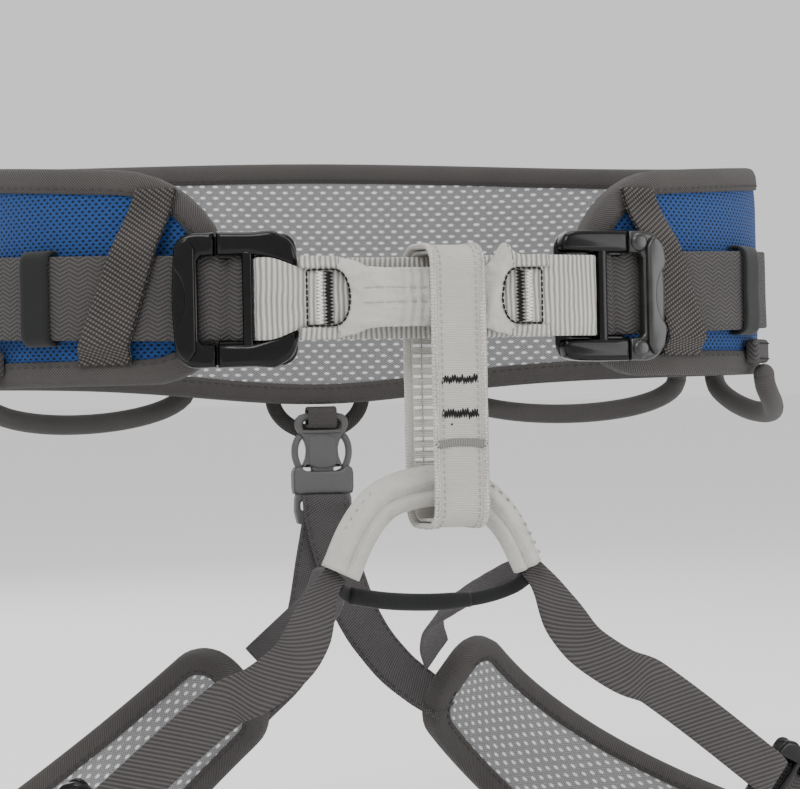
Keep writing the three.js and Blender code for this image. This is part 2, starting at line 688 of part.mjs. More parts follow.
function wrapLeg(flat, side) {
  return sided(bend(flat, onLeg), side);
}

function addLegStraps(leg, mount, name, side) {
  const path = doubledBack(LEG_BUCKLE_AT, LEG_BUCKLE_SCALE, LEG_STRAP_BASE, LEG_TAIL_LENGTH);
  const last = path.at(-1);
  const sewn = stationsBetween(last.x, LEG_WEBBING_END).map((s) => vec(s, last.y));
  const whole = [...path, ...sewn, vec(LEG_WEBBING_END, last.y)];
  const flat = strap(whole, WEBBING_THICKNESS * LEG_BUCKLE_SCALE, LEG_STRAP_WIDTH);
  add(leg, `leg_webbing_${name}`, wrapLeg(flat, side), WEBBING_GREY);

  const loop = [[-17, 1.2], [-13, 1.3], [-11.6, 2.4], [-11.4, 5.5], [-11.6, 8.6], [-13, 9.9], [-21, 9.9]];
  const turned = new THREE.Matrix4().compose(mount.position, mount.quaternion, mount.scale);
  const start = loop.map(([x, d]) => {
    const point = new THREE.Vector3(x, -d, 0).applyMatrix4(turned);
    return vec(point.x, point.y);
  });
  const run = [
    [-22, -104], [-32, -105.4], [-42, -106], [-50, -105.8],
    [-58, -105], [-64, -103.8], [-70, -102], [-77, -99],
  ].map(([x, y]) => vec(x, y));
  const { smoothstep } = THREE.MathUtils;
  const sag = (x) => smoothstep(-x, 14, 40) * (11 * smoothstep(-x, 48, 80) - 6);
  const front = strap([...start, ...run], 1.4, LEG_STRAP_WIDTH - 4);
  const raised = bend(front, (x, y, z) => new THREE.Vector3(x, y, z + sag(x)));
  add(leg, `leg_front_strap_${name}`, sided(raised, side), WEBBING_GREY);

  const inner = [
    [-80.5, -92], [-83, -76], [-85, -50], [-86, -22], [-85.5, 6], [-80, 32], [-72.5, 50],
  ].map(([x, y]) => vec(x, y));
  const climb = (y) => 5 * smoothstep(-y, 20, 95);
  const crotch = strap(inner, 1.6, LEG_STRAP_WIDTH - 4);
  const lifted = bend(crotch, (x, y, z) => new THREE.Vector3(x, y, z + climb(y)));
  add(leg, `leg_inner_strap_${name}`, sided(lifted, side), SLATE);
}

function addLegs() {
  for (const { side, name } of SIDES) {
    const leg = new THREE.Group();
    leg.position.set(side * LEG_CENTRE.x, LEG_CENTRE.y, LEG_CENTRE.z);
    leg.rotation.set(LEG_REARWARD_TILT, side * LEG_OUTWARD_TILT, 0);
    harness.add(leg);
    add(leg, `leg_lining_${name}`, wrapLeg(padLayer(legPad, LEG_LAYERS.lining), side), SILVER_MESH);
    add(leg, `leg_foam_${name}`, wrapLeg(padLayer(legPad, LEG_LAYERS.foam), side), FOAM);
    add(leg, `leg_shell_${name}`, wrapLeg(padLayer(legPad, LEG_LAYERS.shell), side), BLUE_MESH);
    add(leg, `leg_binding_${name}`, wrapLeg(padBinding(legPad, LEG_LAYERS.binding), side), SLATE);

    const mount = buckleMount(onLeg, LEG_BUCKLE_AT, LEG_BUCKLE_SCALE, LEG_STRAP_BASE);
    mount.updateMatrix();
    addLegStraps(leg, mount, name, side);
    mount.position.x *= side;
    mount.rotation.z *= side;
    addBuckle(leg, mount, 'leg', name, side);
  }
}

addWaistPad();
addWaistWebbing();
addWaistTrim();
addTieIn();
addBelayLoop();
addBridge();
addElastic();
addShortStrap();
addRearBuckle();
addRisers();
addHaulLoop();
addGearLoops();
addLegs();

export default harness;
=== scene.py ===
"""A climbing harness: padded belt and leg loops, sewn webbing, glossy buckles, belay loop and lower bridge.

Lengths are drawn in millimetres and turned into metres when a piece is made. +Z is up, the front faces -Y and
+X is the wearer's left. Sewn pieces are laid out flat, as a distance round a loop, an outward distance and a
height, and are then wrapped round that loop.
"""

import math
from bisect import bisect_right

import bmesh
import bpy
from mathutils import Matrix, Vector, geometry, noise


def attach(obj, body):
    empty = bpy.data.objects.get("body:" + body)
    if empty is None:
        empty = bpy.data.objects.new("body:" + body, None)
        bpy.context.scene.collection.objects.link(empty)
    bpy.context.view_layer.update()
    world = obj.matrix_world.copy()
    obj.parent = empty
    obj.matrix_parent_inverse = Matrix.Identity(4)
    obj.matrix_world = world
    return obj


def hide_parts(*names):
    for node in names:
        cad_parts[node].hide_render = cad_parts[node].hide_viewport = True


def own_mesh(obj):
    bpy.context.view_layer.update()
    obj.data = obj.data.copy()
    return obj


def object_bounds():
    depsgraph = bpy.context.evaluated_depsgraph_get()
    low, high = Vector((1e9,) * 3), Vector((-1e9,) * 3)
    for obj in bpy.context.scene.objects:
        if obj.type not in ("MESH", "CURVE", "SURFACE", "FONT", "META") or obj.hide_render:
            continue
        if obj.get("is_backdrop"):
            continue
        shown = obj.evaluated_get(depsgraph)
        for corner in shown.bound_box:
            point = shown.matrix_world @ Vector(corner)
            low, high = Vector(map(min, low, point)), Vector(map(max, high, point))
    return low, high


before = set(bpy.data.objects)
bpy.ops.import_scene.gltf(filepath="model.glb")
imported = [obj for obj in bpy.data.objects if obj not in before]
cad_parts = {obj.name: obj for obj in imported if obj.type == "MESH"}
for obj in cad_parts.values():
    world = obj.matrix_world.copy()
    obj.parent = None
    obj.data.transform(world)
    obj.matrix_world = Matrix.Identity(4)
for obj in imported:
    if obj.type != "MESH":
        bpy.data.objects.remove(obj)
cad_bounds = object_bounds()

MM = 0.001
SIDES = ((1, "left"), (-1, "right"))
UP = Vector((0, 0, 1))
RIGHTWARD = Vector((1, 0, 0))
FORWARD, BACKWARD = Vector((0, -1, 0)), Vector((0, 1, 0))


# ---- Camera, lights and floor ----

CAMERA_AT = Vector((-0.1874, -0.8745, -0.033))
CAMERA_LOOKS = Vector((0.2267, 0.974, 0))
CAMERA_LENS = 103
CAMERA_ROLL = math.radians(-1.2)
FLOOR_BELOW = 0.004


def add_camera():
    data = bpy.data.cameras.new("camera")
    data.lens = CAMERA_LENS
    data.sensor_width = 36
    data.dof.use_dof = False
    camera = bpy.data.objects.new("camera", data)
    camera.location = CAMERA_AT
    turned = CAMERA_LOOKS.to_track_quat("-Z", "Y").to_matrix() @ Matrix.Rotation(CAMERA_ROLL, 3, "Z")
    camera.rotation_euler = turned.to_euler()
    bpy.context.collection.objects.link(camera)
    bpy.context.scene.camera = camera


def add_light(name, place, size, energy):
    data = bpy.data.lights.new(name, "AREA")
    data.shape = "RECTANGLE"
    data.size, data.size_y = size
    data.energy = energy
    light = bpy.data.objects.new(name, data)
    light.location = place
    light.visible_camera = False
    light.rotation_euler = (Vector((0, 0, -0.05)) - Vector(place)).to_track_quat("-Z", "Y").to_euler()
    bpy.context.collection.objects.link(light)


def add_studio():
    add_light("key", (-0.8, -1.3, 1.3), (0.9, 0.7), 21)
    add_light("fill", (1.42, -0.95, 0.12), (0.9, 1.1), 13)
    add_light("top", (0.1, 0.0, 1.8), (1.2, 1.2), 16)
    add_light("back", (-0.4, 1.6, 0.8), (1.4, 1.0), 9)
    world = bpy.data.worlds.new("studio")
    bpy.context.scene.world = world
    world.use_nodes = True
    sky = world.node_tree.nodes["Background"]
    sky.inputs["Color"].default_value = (1, 1, 1, 1)
    sky.inputs["Strength"].default_value = 0.9
    bpy.ops.mesh.primitive_circle_add(vertices=64, radius=60, fill_type="NGON")
    floor = bpy.context.object
    floor.name = "floor"
    floor.location = (0, 0, float(cad_bounds[0][2]) - FLOOR_BELOW)
    paint = bpy.data.materials.new("floor")
    paint.use_nodes = True
    shader = paint.node_tree.nodes["Principled BSDF"]
    shader.inputs["Base Color"].default_value = (0.93, 0.93, 0.93, 1)
    shader.inputs["Roughness"].default_value = 0.9
    floor.data.materials.append(paint)
    floor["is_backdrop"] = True


# ---- Materials ----


class Value:
    """A value that varies over a surface."""

    def __init__(self, kit, socket):
        self.kit, self.socket = kit, socket

    def __add__(self, other):
        return self.kit.math("ADD", self, other)

    def __sub__(self, other):
        return self.kit.math("SUBTRACT", self, other)

    def __mul__(self, other):
        return self.kit.math("MULTIPLY", self, other)

    def __truediv__(self, other):
        return self.kit.math("DIVIDE", self, other)

    def scaled(self, factor, offset):
        return self.kit.math("MULTIPLY_ADD", self, factor, offset)


class Kit:
    """Builds one material's nodes."""

    def __init__(self, name, **constants):
        self.material = bpy.data.materials.new(name)
        self.material.use_nodes = True
        self.tree = self.material.node_tree
        self.shader = self.tree.nodes["Principled BSDF"]
        for socket, value in constants.items():
            self.shader.inputs[socket.replace("_", " ")].default_value = value

    def node(self, kind, inputs=(), **settings):
        made = self.tree.nodes.new(kind)
        for key, value in settings.items():
            setattr(made, key, value)
        for key, value in dict(inputs).items():
            self.set(made.inputs[key], value)
        return made

    def set(self, socket, value):
        if isinstance(value, Value):
            value = value.socket
        if isinstance(value, bpy.types.NodeSocket):
            self.tree.links.new(value, socket)
        else:
            socket.default_value = value

    def math(self, operation, a, b=0.0, c=0.0):
        return Value(self, self.node("ShaderNodeMath", {0: a, 1: b, 2: c}, operation=operation).outputs[0])

    def flat(self):
        """Distance along and across the piece, in millimetres."""
        uv = self.node("ShaderNodeUVMap", uv_map="Weave")
        parts = self.node("ShaderNodeSeparateXYZ", {0: uv.outputs[0]})
        return Value(self, parts.outputs[0]), Value(self, parts.outputs[1])

    def wave(self, phase):
        """From 0 to 1 and back, once for every whole number in the phase."""
        return self.math("SINE", phase * (2 * math.pi)).scaled(0.5, 0.5)

    def noise(self, scale, detail=3.0, roughness=0.55):
        place = self.node("ShaderNodeTexCoord").outputs["Object"]
        inputs = {"Vector": place, "Scale": scale, "Detail": detail, "Roughness": roughness}
        return Value(self, self.node("ShaderNodeTexNoise", inputs).outputs[0])

    def blend(self, a, b, share):
        """a and b mixed, with this constant share of b."""
        return a * (1 - share) + b * share

    def ramp(self, value, stops):
        made = self.node("ShaderNodeValToRGB", {0: value})
        points = made.color_ramp.elements
        for i, (place, color) in enumerate(stops):
            point = points[i] if i < 2 else points.new(place)
            point.position = place
            point.color = (*color, 1)
        return made.outputs[0]

    def mix(self, share, a, b):
        return self.node("ShaderNodeMixRGB", {0: share, 1: a, 2: b}).outputs[0]

    def color(self, value):
        self.set(self.shader.inputs["Base Color"], value)

    def roughness(self, value, low, high):
        spread = self.node("ShaderNodeMapRange", {0: value, 3: low, 4: high})
        self.set(self.shader.inputs["Roughness"], spread.outputs[0])

    def bump(self, height, distance):
        made = self.node("ShaderNodeBump", {"Height": height, "Distance": distance})
        self.set(self.shader.inputs["Normal"], made.outputs[0])


FABRIC = {"Sheen_Weight": 0.05, "Sheen_Roughness": 0.5, "Specular_IOR_Level": 0.18}


def shaded(color, share):
    return tuple(channel * share for channel in color)


def fabric(name, pattern, color, dark, light, depth, fine=2600, mottle=0.25, sheen=0.05, patch=0.16):
    """A cloth whose pattern(kit, along, across) gives the height of its threads, from 0 to 1."""
    kit = Kit(name, **{**FABRIC, "Sheen_Weight": sheen})
    along, across = kit.flat()
    threads = pattern(kit, along, across)
    fuzz = kit.noise(fine, 4)
    height = kit.blend(threads, fuzz, mottle)
    tone = kit.blend(height, kit.noise(70, 3), patch)
    # The colour follows the thread height: the valleys are painted darker as painted shade and the ridges
    # lighter as painted highlight, with patches of random tone.
    kit.color(kit.ramp(tone, [(0.12, shaded(color, dark)), (0.85, shaded(color, light)), (0.5, color)]))
    kit.roughness(height, 0.92, 0.68)
    kit.bump(height, depth)
    return kit.material


def twill(pitch, cross):
    def pattern(kit, along, across):
        lines = kit.wave((along + across) / pitch)
        threads = kit.wave((along - across) / cross)
        return lines * threads.scaled(0.45, 0.55)
    return pattern


def crosshatch(pitch, cross):
    """A coarse weave of short raised threads in slanting rows."""
    def pattern(kit, along, across):
        lines = kit.wave((along + across * 0.55) / pitch)
        threads = kit.wave((across - along * 0.35) / cross)
        return lines * threads.scaled(0.75, 0.25)
    return pattern


def herringbone(kit, along, across):
    """Ribs nearly along the strap that turn the other way every few millimetres."""
    drift = kit.noise(160, 3) * 0.9
    slope = kit.math("PINGPONG", along, 3.6) * 0.5 + drift
    ribs = kit.wave((across + slope) / 1.45)
    picks = kit.wave((along - across * 0.5) / 0.95)
    return ribs * picks.scaled(0.5, 0.5)


def slanted(kit, along, across):
    """Bold ribs that cross the strap at a slant."""
    ribs = kit.wave((along + across * 0.75) / 1.75)
    threads = kit.wave(across / 0.8)
    return ribs * threads.scaled(0.25, 0.75)


def plain_weave(kit, along, across):
    warp = kit.wave(along / 0.62)
    weft = kit.wave(across / 0.62)
    return kit.blend(warp * weft, kit.noise(300, 5, 0.65), 0.45)


def ribbed(pitch, cross, depth=0.25):
    """Ribs across the strap, each made of short threads."""
    def pattern(kit, along, across):
        ribs = kit.wave((along + kit.noise(70, 2) * 1.6) / pitch)
        threads = kit.wave(across / cross)
        return ribs * threads.scaled(depth, 1 - depth)
    return pattern


def dots(kit, along, across, across_row, spacing, size):
    """1 in the middle of each dot of offset rows, falling to 0 at its edge."""
    row = kit.math("FLOOR", across / across_row)
    offset = kit.math("MODULO", kit.math("ABSOLUTE", row), 2.0) * 0.5
    x = kit.math("FRACT", along / spacing + offset)
    y = kit.math("FRACT", across / across_row)
    x = (x - 0.5) * (2 * spacing / size[0])
    y = (y - 0.5) * (2 * across_row / size[1])
    away = kit.math("SQRT", x * x + y * y)
    edge = kit.node("ShaderNodeMapRange", {0: away, 1: 0.55, 2: 1.25, 3: 1.0, 4: 0.0})
    return Value(kit, edge.outputs[0])


def net(kit, along, across, pitch):
    """Threads that cross in diamonds."""
    left = kit.wave((along + across * 1.6) / pitch)
    right = kit.wave((along - across * 1.6) / pitch)
    return kit.math("MAXIMUM", left, right)


def lining_mesh():
    kit = Kit("lining_mesh", **FABRIC)
    along, across = kit.flat()
    along = along + kit.noise(120, 3) * 1.2
    # Dots in offset rows: the mesh's dots, painted near-white as painted highlights, brighter on some than
    # others.
    dot_highlights = dots(kit, along, across, 2.45, 5.6, (2.5, 1.25))
    # The ground is painted lighter on the net's threads and darker in the gaps between them, as painted
    # highlight and shade.
    weave = net(kit, along, across, 1.55)
    tone = kit.blend(weave, kit.noise(1500, 4), 0.45)
    greys = [(0.2, (0.085, 0.085, 0.088)), (0.95, (0.34, 0.34, 0.345)), (0.6, (0.185, 0.185, 0.19))]
    ground = kit.ramp(tone, greys)
    dot_highlights = dot_highlights * kit.noise(900, 3).scaled(0.9, 0.45)
    kit.color(kit.mix(dot_highlights, ground, (0.8, 0.8, 0.8, 1)))
    kit.roughness(dot_highlights, 0.8, 0.55)
    kit.bump(tone * 0.5 + dot_highlights, 0.0004)
    return kit.material


def blue_mesh():
    kit = Kit("blue_mesh", **FABRIC)
    along, across = kit.flat()
    holes = dots(kit, along, across, 1.25, 2.35, (1.2, 0.85))
    # The net's threads are painted lighter and the gaps between them darker, as painted highlight and shade.
    weave = net(kit, along, across, 0.9)
    tone = kit.blend(weave, kit.noise(1600, 3), 0.45)
    blues = [(0.1, (0.004, 0.016, 0.065)), (0.9, (0.022, 0.088, 0.29)), (0.5, (0.01, 0.042, 0.165))]
    ground = kit.ramp(tone, blues)
    kit.color(kit.mix(holes, ground, (0.006, 0.008, 0.012, 1)))
    kit.roughness(holes, 0.65, 0.9)
    kit.bump(tone * 0.5 - holes, 0.0004)
    return kit.material


def black_metal(name, lightness, specular, roughness):
    kit = Kit(name, Coat_Weight=0.1, Coat_Roughness=0.05, Specular_IOR_Level=specular)
    wear = kit.noise(260, 6, 0.7)
    kit.color(kit.ramp(wear, [(0.3, shaded((0.0008, 0.001, 0.0008), lightness)),
                              (0.8, shaded((0.003, 0.0033, 0.003), lightness))]))
    kit.roughness(wear, *roughness)
    kit.bump(kit.noise(1400, 3), 0.00003)
    return kit.material


def moulded(name, color):
    kit = Kit(name, Specular_IOR_Level=0.4)
    speck = kit.noise(2400, 4, 0.6)
    tone = kit.blend(speck, kit.noise(90, 3), 0.45)
    kit.color(kit.ramp(tone, [(0.2, shaded(color, 0.82)), (0.8, shaded(color, 1.18))]))
    kit.roughness(tone, 0.4, 0.6)
    kit.bump(speck, 0.00006)
    return kit.material


SLATE = (0.07, 0.065, 0.0625)
GREY = (0.066, 0.061, 0.06)
PALE = (0.46, 0.445, 0.415)

# The valley share is painted shade and the ridge share is painted highlight on the weave.
# Each cloth's slot, pattern, colour, share of that colour in its valleys and on its ridges, relief in metres
CLOTHS = {
    "twill": ("slate_twill", twill(1.05, 0.62), SLATE, 0.45, 1.55, 0.0003, {}),
    "coarse_twill": (
        "slate_twill", crosshatch(1.55, 1.35), (0.078, 0.07, 0.066), 0.22, 2.0, 0.0006, {"mottle": 0.15}),
    "riser_weave": ("slate_twill", crosshatch(1.05, 0.95), (0.08, 0.073, 0.0745), 0.4, 1.6, 0.0004, {}),
    "herringbone": ("grey_webbing", herringbone, GREY, 0.5, 1.5, 0.0005, {}),
    "slanted_rib": ("grey_webbing", slanted, GREY, 0.5, 1.4, 0.0005, {}),
    "sleeve": (
        "pale_sleeve", plain_weave, (0.5, 0.482, 0.45), 0.66, 1.16, 0.0003, {"fine": 1200, "patch": 0.35}),
    "pale_rib": ("pale_webbing", ribbed(1.75, 0.7), PALE, 0.4, 1.28, 0.0006, {"mottle": 0.18}),
    "pale_plain": ("pale_sleeve", ribbed(0.75, 0.55, 0.4), PALE, 0.74, 1.14, 0.00025, {"patch": 0.3}),
    "pale_edge": ("pale_webbing", ribbed(1.1, 0.9, 0.5), (0.56, 0.545, 0.51), 0.6, 1.2, 0.0004, {}),
    "lap_grey": ("pale_webbing", ribbed(0.8, 0.5, 0.4), (0.19, 0.185, 0.175), 0.6, 1.3, 0.0002, {}),
    "elastic": (
        "black_elastic", ribbed(0.75, 0.9, 0.3), (0.0105, 0.0108, 0.011), 0.85, 1.35, 0.00006,
        {"mottle": 0.7, "sheen": 0.12}),
    "tube": (
        "moulded_tube", ribbed(0.8, 0.8, 0.5), (0.062, 0.058, 0.056), 0.7, 1.35, 0.00012, {"mottle": 0.5}),
    "dark_webbing": ("dark_webbing", twill(1.1, 0.7), (0.06, 0.056, 0.054), 0.5, 1.5, 0.0003, {}),
    "black_thread": ("black_elastic", ribbed(0.5, 0.5), (0.01, 0.01, 0.01), 0.6, 2.2, 0.0001, {}),
    "slate_thread": ("slate_twill", ribbed(0.5, 0.5), (0.05, 0.047, 0.045), 0.6, 1.6, 0.0001, {}),
    "white_thread": ("pale_sleeve", ribbed(0.5, 0.5), (0.8, 0.79, 0.77), 0.75, 1.1, 0.0001, {}),
    "grey_thread": ("pale_webbing", ribbed(0.5, 0.5), (0.34, 0.33, 0.31), 0.7, 1.2, 0.0001, {}),
}
PAINT = {
    name: fabric(name, pattern, color, dark, light, relief, **more)
    for name, (_, pattern, color, dark, light, relief, more) in CLOTHS.items()
}
PAINT |= {
    "lining": lining_mesh(),
    "blue": blue_mesh(),
    "gloss": black_metal("gloss_black", 1, 0.2, (0.14, 0.3)),
    # A copy of the black paint made eight times lighter and less glossy: a painted reflection for one waist
    # handle.
    "satin": black_metal("painted_reflection_black", 8, 0.5, (0.26, 0.42)),
    "plastic": moulded("grey_plastic", (0.085, 0.083, 0.083)),
}
SLOT = {name: cloth[0] for name, cloth in CLOTHS.items()}
SLOT |= {
    "lining": "silver_mesh", "blue": "blue_mesh", "gloss": "black_metal", "satin": "black_metal",
    "plastic": "grey_plastic",
}


# ---- Loops round the body ----


class Loop:
    """A closed superellipse round the body, measured clockwise from start_angle, seen from above."""

    SAMPLES = 2880

    def __init__(self, half_width, half_depth, squareness, start_angle, shift=0.0):
        power = 2 / squareness
        self.shift = shift
        self.points = []
        for i in range(self.SAMPLES):
            angle = start_angle + 2 * math.pi * i / self.SAMPLES
            x, y = (math.copysign(abs(v) ** power, v) for v in (math.sin(angle), math.cos(angle)))
            self.points.append(Vector((half_width * x, half_depth * y, 0)))
        self.starts = [0.0]
        self.tangents = []
        for i, point in enumerate(self.points):
            after = self.points[(i + 1) % self.SAMPLES]
            self.starts.append(self.starts[-1] + (after - point).length)
            self.tangents.append((after - self.points[i - 1]).normalized())
        self.length = self.starts[-1]

    def place(self, s, d, h):
        """The point at a distance s round the loop, d outwards from it and at height h."""
        wanted = (s + self.shift) % self.length
        i = min(bisect_right(self.starts, wanted) - 1, self.SAMPLES - 1)
        share = (wanted - self.starts[i]) / (self.starts[i + 1] - self.starts[i])
        after = (i + 1) % self.SAMPLES
        tangent = self.tangents[i].lerp(self.tangents[after], share)
        outward = Vector((-tangent.y, tangent.x, 0)).normalized()
        point = self.points[i].lerp(self.points[after], share) + outward * d
        return Vector((point.x, point.y, h))


# ---- Building meshes ----


def smooth_path(points, step, closed=False):
    """Points about step apart on a smooth curve through these."""
    points = [Vector(p) for p in points]
    count = len(points)
    pick = (lambda i: points[i % count]) if closed else (lambda i: points[max(0, min(count - 1, i))])
    result = []
    for i in range(count if closed else count - 1):
        a, b, c, d = (pick(i + k) for k in (-1, 0, 1, 2))
        pieces = max(1, round((c - b).length / step))
        span = (c - b).length
        out = (c - a).normalized() * span if (c - a).length else c - b
        into = (d - b).normalized() * span if (d - b).length else c - b
        for k in range(pieces):
            t = k / pieces
            h1, h2 = 2 * t**3 - 3 * t**2 + 1, t**3 - 2 * t**2 + t
            h3, h4 = -2 * t**3 + 3 * t**2, t**3 - t**2
            result.append(b * h1 + out * h2 + c * h3 + into * h4)
    if not closed:
        result.append(points[-1])
    return result


def stations_of(points, up, closed=False):
    """(point, across, outward) at each point of a path, with across as near to up as it can be."""
    count = len(points)
    result = []
    for i, point in enumerate(points):
        before = points[i - 1] if closed or i else point
        after = points[(i + 1) % count] if closed or i < count - 1 else point
        along = (after - before).normalized()
        across = (up - along * up.dot(along)).normalized()
        result.append((point, across, across.cross(along)))
    return result


def strap_section(width, thickness, columns=8):
    """(across, outward, v) round a strap with soft edges."""
    half, deep = width / 2, thickness / 2
    inner = half - deep * 0.7
    row = [-inner + 2 * inner * i / columns for i in range(columns + 1)]
    top = [(a, deep, a) for a in row]
    bottom = [(a, -deep, a) for a in reversed(row)]
    out, soft = half * 0.995, deep * 0.45
    right = [(out, soft, half), (out, -soft, half)]
    left = [(-out, -soft, -half), (-out, soft, -half)]
    return top + right + bottom + left


def round_section(wide, tall, sides=14):
    """(across, outward, v) round an oval cord."""
    ring = []
    for i in range(sides):
        angle = 2 * math.pi * i / sides
        ring.append((wide / 2 * math.cos(angle), tall / 2 * math.sin(angle), wide * angle / 2))
    return ring


def ring_quads(count, around, closed=False):
    """The faces between count rings of points, each ring with this many points around it."""
    faces = []
    for i in range(count if closed else count - 1):
        for j in range(around):
            k, n = (i + 1) % count, (j + 1) % around
            faces.append([i * around + j, k * around + j, k * around + n, i * around + n])
    return faces


class Piece:
    """Collects closed shapes, in millimetres, and makes one Blender object of them."""

    def __init__(self):
        self.verts, self.faces, self.uvs = [], [], []

    def add(self, verts, faces, uvs):
        first = len(self.verts)
        self.verts += verts
        self.faces += [[first + i for i in face] for face in faces]
        self.uvs += uvs

    def sweep(self, stations, section, closed=False, ripple=0.0, scale=None, seed=0.0):
        """A section of (across, outward, v) carried along stations of (point, across, outward)."""
        count, around = len(stations), len(section)
        verts, uvs, lengths = [], [], [0.0]
        for i, (point, across, outward) in enumerate(stations):
            if i:
                lengths.append(lengths[-1] + (point - stations[i - 1][0]).length)
            wide, tall = scale(i / (count - 1), point) if scale else (1, 1)
            for a, b, _ in section:
                place = point + across * (a * wide) + outward * (b * tall)
                if ripple:
                    push = noise.noise(place * 0.09 + Vector((seed, 0, 0)))
                    push += 0.4 * noise.noise(place * 0.31 + Vector((0, seed, 0)))
                    place = place + outward * (ripple * push)
                verts.append(place)
        if closed:
            lengths.append(lengths[-1] + (stations[0][0] - stations[-1][0]).length)
        faces = ring_quads(count, around, closed)
        for i, length in enumerate(lengths[1:]):
            for j in range(around):
                v0, v1 = section[j][2], section[(j + 1) % around][2]
                uvs.append([(lengths[i], v0), (length, v0), (length, v1), (lengths[i], v1)])
        if not closed:
            last = (count - 1) * around
            faces.append(list(range(around)))
            faces.append([last + j for j in reversed(range(around))])
            flat = [(b, a) for a, b, _ in section]
            uvs.append(flat)
            uvs.append(list(reversed(flat)))
        self.add(verts, faces, uvs)
        return self

    def strap(self, points, width, thickness, up, closed=False, columns=8, **options):
        section = strap_section(width, thickness, columns)
        return self.sweep(stations_of(points, up, closed), section, closed, **options)

    def plate(self, outline, holes, low, high, bevel, place, steps=3):
        """A plate with rounded edges between two levels: place(x, y, level) gives each point."""
        loops = [wound(outline, 1)] + [wound(hole, -1) for hole in holes]
        profile = []
        for k in range(steps + 1):
            angle = math.pi / 2 * k / steps
            profile.append((bevel * (1 - math.sin(angle)), low + bevel * (1 - math.cos(angle))))
        profile += [(inset, low + high - level) for inset, level in reversed(profile)]
        for loop in loops:
            rings = [inset_loop(loop, inset) for inset, _ in profile]
            verts = [place(p.x, p.y, level) for ring, (_, level) in zip(rings, profile) for p in ring]
            flat = [(p.x, p.y + level) for ring, (_, level) in zip(rings, profile) for p in ring]
            faces = ring_quads(len(profile), len(loop))
            self.add(verts, faces, [[flat[i] for i in face] for face in faces])
        caps = [inset_loop(loop, bevel) for loop in loops]
        points = [p for cap in caps for p in cap]
        triangles = geometry.tessellate_polygon([[Vector((p.x, p.y, 0)) for p in cap] for cap in caps])
        flat = [[(points[i].x, points[i].y) for i in corners] for corners in triangles]
        for level in (low, high):
            verts = [place(p.x, p.y, level) for p in points]
            self.add(verts, [list(corners) for corners in triangles], flat)
        return self

    def stitch(self, start, end, outward, radius=0.3, bow=0.25):
        """One thread stitch lying on a surface."""
        along = end - start
        if along.length < 1e-6:
            return
        across = outward.cross(along).normalized()
        sides = 6
        verts = []
        shape = ((0, 0.35, -0.6), (0.25, 1, 0.6), (0.75, 1, 0.6), (1, 0.35, -0.6))
        for share, size, lift in shape:
            middle = start + along * share + outward * (radius * lift * 0.5 + bow * math.sin(math.pi * share))
            for k in range(sides):
                angle = 2 * math.pi * k / sides
                spoke = across * math.cos(angle) + outward * math.sin(angle)
                verts.append(middle + spoke * (radius * size))
        last = (len(shape) - 1) * sides
        faces = ring_quads(len(shape), sides)
        faces.append(list(reversed(range(sides))))
        faces.append([last + k for k in range(sides)])
        self.add(verts, faces, [[(verts[i].x, verts[i].z) for i in face] for face in faces])

    def ball(self, middle, radius, rings=8, sides=16):
        rows = []
        for i in range(1, rings):
            angle = math.pi * i / rings
            rows.append([middle + Vector((math.sin(angle) * math.cos(2 * math.pi * k / sides),
                                          math.sin(angle) * math.sin(2 * math.pi * k / sides),
                                          math.cos(angle))) * radius for k in range(sides)])
        verts = [middle + UP * radius] + [v for row in rows for v in row] + [middle - UP * radius]
        last = len(verts) - 1
        faces = []
        for k in range(sides):
            n = (k + 1) % sides
            faces.append([0, 1 + k, 1 + n])
            faces.append([last, last - sides + n, last - sides + k])
            for i in range(rings - 2):
                a, b = 1 + i * sides, 1 + (i + 1) * sides
                faces.append([a + k, b + k, b + n, a + n])
        self.add(verts, faces, [[(verts[i].x, verts[i].z) for i in face] for face in faces])

    def seam(self, points, outwards, length=2.4, gap=0.9, radius=0.28):
        """Stitches along a path, with the outward direction at each of its points."""
        lengths = [0.0]
        for a, b in zip(points, points[1:]):
            lengths.append(lengths[-1] + (b - a).length)

        def at(distance):
            i = min(bisect_right(lengths, distance) - 1, len(points) - 2)
            share = (distance - lengths[i]) / max(1e-9, lengths[i + 1] - lengths[i])
            outward = outwards[i].lerp(outwards[i + 1], share).normalized()
            return points[i].lerp(points[i + 1], share), outward

        start = 0.0
        while start + length < lengths[-1]:
            p, out = at(start)
            q, _ = at(start + length)
            self.stitch(p, q, out, radius)
            start += length + gap
        return self

    def zigzag(self, points, sideways, outward, half_width, pitch, radius=0.22, wild=0.12):
        """A bartack: thread that goes to and fro across a path."""
        start, end = points
        count = max(1, round((end - start).length / pitch))
        for i in range(count):
            a = start.lerp(end, i / count)
            b = start.lerp(end, (i + 0.5) / count)
            c = start.lerp(end, (i + 1) / count)
            stray = wild * half_width * noise.noise(a * 0.9)
            far = b + sideways * (half_width - stray)
            self.stitch(a - sideways * (half_width + stray), far, outward, radius, 0.1)
            self.stitch(far, c - sideways * half_width, outward, radius, 0.1)
        return self

